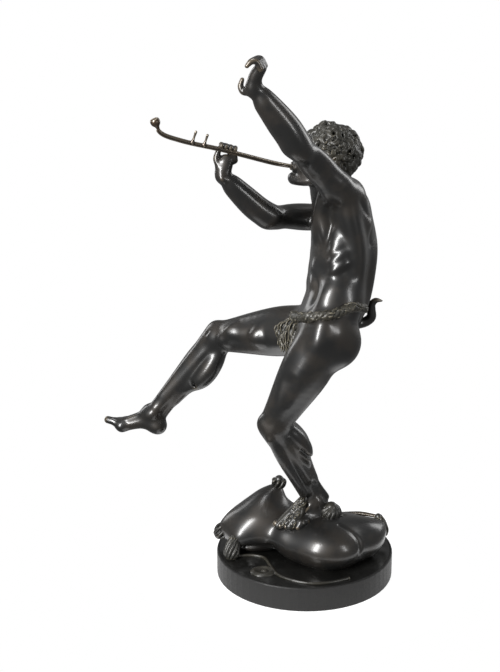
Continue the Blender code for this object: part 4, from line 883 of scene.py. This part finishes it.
def slope(field, low, cell, points, step):
    """The direction in which the field grows fastest."""
    rows = []
    for axis in np.eye(3) * step:
        rows.append(sample(field, low, cell, points + axis) - sample(field, low, cell, points - axis))
    found = np.stack(rows, 1)
    return found / np.maximum(np.linalg.norm(found, axis=1, keepdims=True), 1e-9)


def bulge(field, low, cell, points, step):
    """How convex the surface is there: 0.5 on a flat, 1 on a sharp ridge, 0 in a deep groove."""
    around = sum(sample(field, low, cell, points + s * axis) for axis in np.eye(3) * step for s in (1, -1))
    curve = (around - 6 * sample(field, low, cell, points)) / step
    return np.clip(0.5 + 0.5 * curve, 0, 1)


def cast(name, clay, cell, triangles, material, floor=None, scale=2.2):
    """A mesh of the clay's surface with smooth normals and the bulge of each point."""
    field, low = clay.field(cell)
    if floor is not None:
        heights = low[2] + cell * np.arange(field.shape[2], dtype=np.float32)
        np.maximum(field, floor - heights, out=field)
    fill_pinches(field, cell)
    points, quads = surface_net(field, low, cell)
    thing = add_object(name, to_metres(points), quads, material)
    if 2 * len(quads) > triangles:
        thin = thing.modifiers.new("thin", "DECIMATE")
        thin.ratio = triangles / (2 * len(quads))
        bake(thing)
    mesh = thing.data
    points = to_drawn(read_points(mesh))
    for _ in range(2):
        points -= slope(field, low, cell, points, cell) * sample(field, low, cell, points)[:, None] * 0.7
    normals = slope(field, low, cell, points, cell * 1.2)
    store(mesh, "bulge", bulge(field, low, cell, points, scale))
    mesh.vertices.foreach_set("co", to_metres(points).astype(np.float32).ravel())
    mesh.shade_smooth()
    mesh.normals_split_custom_set_from_vertices([tuple(n) for n in normals])
    mesh.update()
    return thing


def read_points(mesh):
    points = np.empty(3 * len(mesh.vertices), np.float32)
    mesh.vertices.foreach_get("co", points)
    return points.reshape(-1, 3).astype(float)


def store(mesh, name, values):
    layer = mesh.attributes.new(name, "FLOAT", "POINT")
    layer.data.foreach_set("value", np.asarray(values, np.float32))


def add_object(name, points, faces, material):
    mesh = bpy.data.meshes.new(name)
    mesh.from_pydata([tuple(p) for p in points], [], [tuple(f) for f in faces])
    mesh.materials.append(material)
    thing = bpy.data.objects.new(name, mesh)
    bpy.context.scene.collection.objects.link(thing)
    return thing


def bake(thing):
    """Replaces an object's mesh by the one that its modifiers give."""
    evaluated = thing.evaluated_get(bpy.context.evaluated_depsgraph_get())
    old = thing.data
    thing.data = bpy.data.meshes.new_from_object(evaluated)
    thing.modifiers.clear()
    thing.data.name = thing.name
    bpy.data.meshes.remove(old)


def piece(thing, slot, *nodes):
    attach(thing, "root")
    if nodes:
        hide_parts(*nodes)


# Materials

class Shader:
    """A small helper that adds and links the nodes of one material."""

    def __init__(self, name, roughness, metallic):
        self.material = bpy.data.materials.new(name)
        self.material.use_nodes = True
        self.nodes = self.material.node_tree.nodes
        self.links = self.material.node_tree.links
        self.surface = self.nodes["Principled BSDF"]
        self.surface.inputs["Roughness"].default_value = roughness
        self.surface.inputs["Metallic"].default_value = metallic

    def add(self, kind, **settings):
        node = self.nodes.new("ShaderNode" + kind)
        for key, value in settings.items():
            setattr(node, key, value)
        return node

    def link(self, source, target):
        self.links.new(source, target)

    def noise(self, scale, detail=4.0, rough=0.55):
        node = self.add("TexNoise")
        node.inputs["Scale"].default_value = scale
        node.inputs["Detail"].default_value = detail
        node.inputs["Roughness"].default_value = rough
        self.link(self.place().outputs["Object"], node.inputs["Vector"])
        return node.outputs["Fac"]

    def place(self):
        if "place" not in self.nodes:
            self.add("TexCoord").name = "place"
        return self.nodes["place"]

    def ramp(self, source, low, high, dark, bright):
        node = self.add("MapRange", interpolation_type="SMOOTHSTEP")
        for socket, value in (("From Min", low), ("From Max", high), ("To Min", dark), ("To Max", bright)):
            node.inputs[socket].default_value = value
        self.link(source, node.inputs["Value"])
        return node.outputs["Result"]

    def times(self, a, b):
        node = self.add("Math", operation="MULTIPLY")
        self.link(a, node.inputs[0])
        self.link(b, node.inputs[1])
        return node.outputs["Value"]

    def blend(self, share, first, second):
        node = self.add("Mix", data_type="RGBA")
        self.link(share, node.inputs["Factor"])
        for socket, value in ((node.inputs[6], first), (node.inputs[7], second)):
            if isinstance(value, tuple):
                socket.default_value = (*value, 1)
            else:
                self.link(value, socket)
        return node.outputs[2]

    def bump(self, height, distance, strength):
        node = self.add("Bump")
        node.inputs["Distance"].default_value = distance
        node.inputs["Strength"].default_value = strength
        self.link(height, node.inputs["Height"])
        self.link(node.outputs["Normal"], self.surface.inputs["Normal"])


# Colours of a bronze: its dark, the brown of its clouds, the worn ridges and the grooves
DARK_BRONZE = ((0.013, 0.013, 0.0127), (0.026, 0.0215, 0.017), (0.1, 0.078, 0.05), (0.006, 0.006, 0.005))
OLIVE_BRONZE = ((0.024, 0.023, 0.018), (0.045, 0.04, 0.028), (0.14, 0.125, 0.09), (0.006, 0.006, 0.005))
DULL_BRONZE = ((0.015, 0.0145, 0.012), (0.028, 0.025, 0.018), (0.1, 0.088, 0.06), (0.005, 0.005, 0.004))
FLUTE_BRONZE = ((0.055, 0.045, 0.037), (0.085, 0.06, 0.04), (0.3, 0.26, 0.2), (0.015, 0.012, 0.009))
PLINTH_BLACK = ((0.0155, 0.0153, 0.0152), (0.023, 0.0226, 0.022))


def patina(name, colours, ridges, shine=(0.42, 0.56), metallic=0.6, wax=1.0):
    """Dark patina under clear wax, browner in clouds, worn bright on the ridges and dull in the grooves."""
    dark, brown, worn, groove = colours
    s = Shader(name, 0.3, metallic)
    s.surface.inputs["Coat Weight"].default_value = wax
    s.surface.inputs["Coat Roughness"].default_value = 0.24
    bulging = s.add("Attribute", attribute_name="bulge").outputs["Fac"]
    clouds = s.noise(38)
    grain = s.noise(800, 3)
    colour = s.blend(s.ramp(clouds, 0.38, 0.68, 0, 1), dark, brown)
    ridge = s.times(s.ramp(bulging, *ridges, 0, 1), s.ramp(grain, 0.3, 0.6, 0.75, 1))
    colour = s.blend(ridge, colour, worn)
    hollow = s.ramp(bulging, 0.2, 0.42, 1, 0)
    colour = s.blend(hollow, colour, groove)
    s.link(colour, s.surface.inputs["Base Color"])
    rough = s.ramp(clouds, 0.3, 0.75, *shine)
    s.link(rough, s.surface.inputs["Roughness"])
    s.bump(grain, 0.00005, 0.2)
    return s.material


def plinth_metal(name):
    """A blackened metal with a fine, even grain."""
    s = Shader(name, 0.5, 0.5)
    clouds = s.noise(30)
    grain = s.noise(600, 2)
    s.link(s.blend(clouds, *PLINTH_BLACK), s.surface.inputs["Base Color"])
    s.link(s.ramp(grain, 0.3, 0.7, 0.42, 0.56), s.surface.inputs["Roughness"])
    s.bump(grain, 0.0001, 0.3)
    return s.material


# Camera, floor and light, in metres

CAMERA_PLACE = (-0.0592, -1.7, 0.871)
CAMERA_PITCH = np.radians(90 - 19.44)
FOCAL_PIXELS = 1733
PHOTO_HEIGHT = 672
FLOOR_RADIUS = 0.18
FLOOR_SIDES = 96
ROOM_LIGHT = 0.19
SOFT_BOXES = [
    # name, place, width, height, watts
    ("key_left", (-1.25, -1.45, 1.15), 0.42, 1.6, 82),
    ("front_right", (1.3, -1.1, 0.9), 0.2, 0.9, 8),
    ("top", (-0.2, 0.2, 2.1), 0.9, 0.4, 12),
    ("back_left", (-1.6, 1.3, 0.9), 0.7, 1.2, 9),
    ("back_right", (1.6, 1.2, 0.9), 0.7, 1.2, 9),
]


def make_camera():
    data = bpy.data.cameras.new("camera")
    camera = bpy.data.objects.new("camera", data)
    bpy.context.scene.collection.objects.link(camera)
    camera.location = CAMERA_PLACE
    camera.rotation_euler = (CAMERA_PITCH, 0, 0)
    data.sensor_fit = "VERTICAL"
    data.sensor_height = 36
    data.lens = 36 * FOCAL_PIXELS / PHOTO_HEIGHT
    data.clip_start = 0.05
    bpy.context.scene.camera = camera


def make_floor():
    s = Shader("floor_white", 0.9, 0)
    s.surface.inputs["Base Color"].default_value = (0.35, 0.35, 0.35, 1)
    s.surface.inputs["Specular IOR Level"].default_value = 0.0
    s.surface.inputs["Emission Color"].default_value = (1, 1, 1, 1)
    s.surface.inputs["Emission Strength"].default_value = 0.88
    angles = np.linspace(0, 2 * np.pi, FLOOR_SIDES, endpoint=False)
    rim = [(FLOOR_RADIUS * np.cos(a), FLOOR_RADIUS * np.sin(a), 0) for a in angles]
    floor = add_object("floor", rim, [range(len(rim))], s.material)


def soft_box(name, place, target, width, height, watts):
    data = bpy.data.lights.new(name, "AREA")
    data.shape = "RECTANGLE"
    data.size, data.size_y = width, height
    data.energy = watts
    lamp = bpy.data.objects.new(name, data)
    bpy.context.scene.collection.objects.link(lamp)
    lamp.location = place
    lamp.rotation_euler = (Vector(target) - Vector(place)).to_track_quat("-Z", "Y").to_euler()


def make_light():
    """A white backdrop, a dimmer room that the bronze reflects, and five soft boxes."""
    world = bpy.data.worlds.new("studio")
    world.use_nodes = True
    nodes, links = world.node_tree.nodes, world.node_tree.links
    backdrop = nodes["Background"]
    backdrop.inputs["Color"].default_value = (1, 1, 1, 1)
    room = nodes.new("ShaderNodeBackground")
    room.inputs["Color"].default_value = (1, 1, 1, 1)
    room.inputs["Strength"].default_value = ROOM_LIGHT
    either = nodes.new("ShaderNodeMixShader")
    links.new(nodes.new("ShaderNodeLightPath").outputs["Is Camera Ray"], either.inputs[0])
    links.new(room.outputs[0], either.inputs[1])
    links.new(backdrop.outputs[0], either.inputs[2])
    links.new(either.outputs[0], nodes["World Output"].inputs["Surface"])
    bpy.context.scene.world = world
    middle = (-0.02, 0, 0.33)
    for name, place, width, height, watts in SOFT_BOXES:
        soft_box(name, place, middle, width, height, watts)
    scene = bpy.context.scene
    scene.view_settings.view_transform = "Standard"
    scene.view_settings.look = "None"


# The pieces

GROUND_RINGS = 40
GROUND_TURNS = 160


def make_figure(bronze):
    figure = cast("figure", faun_clay(), FIGURE_CELL, FIGURE_TRIANGLES, bronze)
    piece(figure, "dark_bronze", "faun")


def make_details():
    """The matt parts: olive hair and garland, duller fleece and knots."""
    olive = patina("olive_bronze", OLIVE_BRONZE, (0.8, 1.0), (0.42, 0.55), 0.2, 0.3)
    dull = patina("dull_bronze", DULL_BRONZE, (0.8, 1.0), (0.42, 0.55), 0.3, 0.4)
    pieces = (("hair", hair_clay(), olive), ("garland", garland_clay(), olive),
              ("fleece", fleece_clay(), dull),
              ("knots", knots_clay(), dull))
    for name, clay, metal in pieces:
        piece(cast(name, clay, DETAIL_CELL, DETAIL_TRIANGLES, metal, scale=0.9), "dark_bronze")


def make_skins(bronze):
    skins = cast("skins", wineskins_clay(), FIGURE_CELL, DETAIL_TRIANGLES, bronze, SKINS_FLOOR)
    piece(skins, "dark_bronze", "wineskins")


def ground_height(x, y, share):
    """The crowned ground, with a low and uneven relief that dies out at its edge."""
    wave = np.sin(90 * x + 3 * np.sin(70 * y)) * np.sin(110 * y + 2 * np.sin(60 * x))
    wave += np.sin(260 * x + 190 * y) * 0.4
    return PLINTH_HEIGHT + GROUND_CROWN * (1 - share ** 2) + GROUND_RELIEF * wave * min(1, 8 * (1 - share))


def make_ground(bronze):
    """The round ground: rings of points from its middle to its edge, and a flat underside."""
    radius = PLINTH_DIAMETER / 2 - RIM_WIDTH - CLEARANCE
    turns = GROUND_TURNS
    points = [(0, 0, PLINTH_HEIGHT + GROUND_CROWN)]
    for share in np.linspace(0, 1, GROUND_RINGS)[1:]:
        for k in range(turns):
            angle = 2 * np.pi * k / turns
            x, y = radius * share * np.cos(angle), radius * share * np.sin(angle)
            points.append((x, y, ground_height(x, y, share)))
    points += [(x, y, PLINTH_HEIGHT - GROUND_THICKNESS + CLEARANCE) for x, y, z in points[-turns:]]
    faces = [(0, 1 + k, 1 + (k + 1) % turns) for k in range(turns)]
    for i in range(GROUND_RINGS - 1):
        for k in range(turns):
            a, b = 1 + i * turns + k, 1 + i * turns + (k + 1) % turns
            faces.append((a, a + turns, b + turns, b))
    last = 1 + (GROUND_RINGS - 1) * turns
    faces.append([last + k for k in range(turns)][::-1])
    ground = add_object("ground", points, faces, bronze)
    ground.data.shade_smooth()
    ground.data.set_sharp_from_angle(angle=np.radians(40))
    piece(ground, "dark_bronze", "wineskins")


def flute_clay():
    """Two pipes side by side; the upper one ends in a bell and carries two stubs."""
    clay = Clay()
    line = smooth_rows(FLUTE, 4)
    stack = unit(STACK) * PIPE_SPREAD / 2 / UNIT
    width = np.interp(np.arange(len(line)), (0, 4, len(line) - 1), (0.75, 1, 1)) * PIPE_DIAMETER / 2 / UNIT
    clay.add(Stroke(line + stack, width, spans=1), 0.2)
    clay.add(Stroke(line[:-3] - stack, width[:-3], spans=1), 0.2)
    end, rise = line[-1] + stack, unit(line[-1] - line[-4])
    size = BELL_DIAMETER / UNIT
    bell = [end + rise * step * size for step in (-0.55, -0.3, -0.05, 0.15, 0.24)]
    clay.add(Stroke(bell, [share * size for share in (0.16, 0.22, 0.34, 0.48, 0.5)]), 0.5)
    clay.cut(Egg(end + rise * size * 0.72, (size * 0.4, size * 0.4, size * 0.42)), 0.8)
    for place, length in zip(KEY_PLACES, KEY_LENGTHS):
        start = stack + [np.interp(-place, -line[:, 0], line[:, k]) for k in range(3)]
        stub = [start + unit(KEY_RISE) * length / UNIT * share for share in (0, 0.15, 0.4, 0.92)]
        clay.add(Stroke(stub, [share * KEY_DIAMETER / UNIT for share in (0.75, 0.55, 0.38, 0.46)]), 0.6)
    return clay


def make_flute():
    bronze = patina("flute_bronze", FLUTE_BRONZE, (0.7, 0.95), (0.25, 0.38), 0.8, 0.5)
    flute = cast("flute", flute_clay(), FLUTE_CELL, DETAIL_TRIANGLES, bronze, scale=0.8)
    piece(flute, "flute_bronze", "double_flute")


def make_plinth():
    """The plinth keeps its solid's shape and gets a finer material."""
    metal = plinth_metal("plinth_bronze")
    for place in bpy.data.objects["plinth"].material_slots:
        place.material = metal


make_camera()
make_floor()
make_light()
dark_bronze = patina("dark_bronze", DARK_BRONZE, (0.8, 1.05))
make_figure(dark_bronze)
make_details()
make_skins(dark_bronze)
make_ground(dark_bronze)
make_flute()
make_plinth()
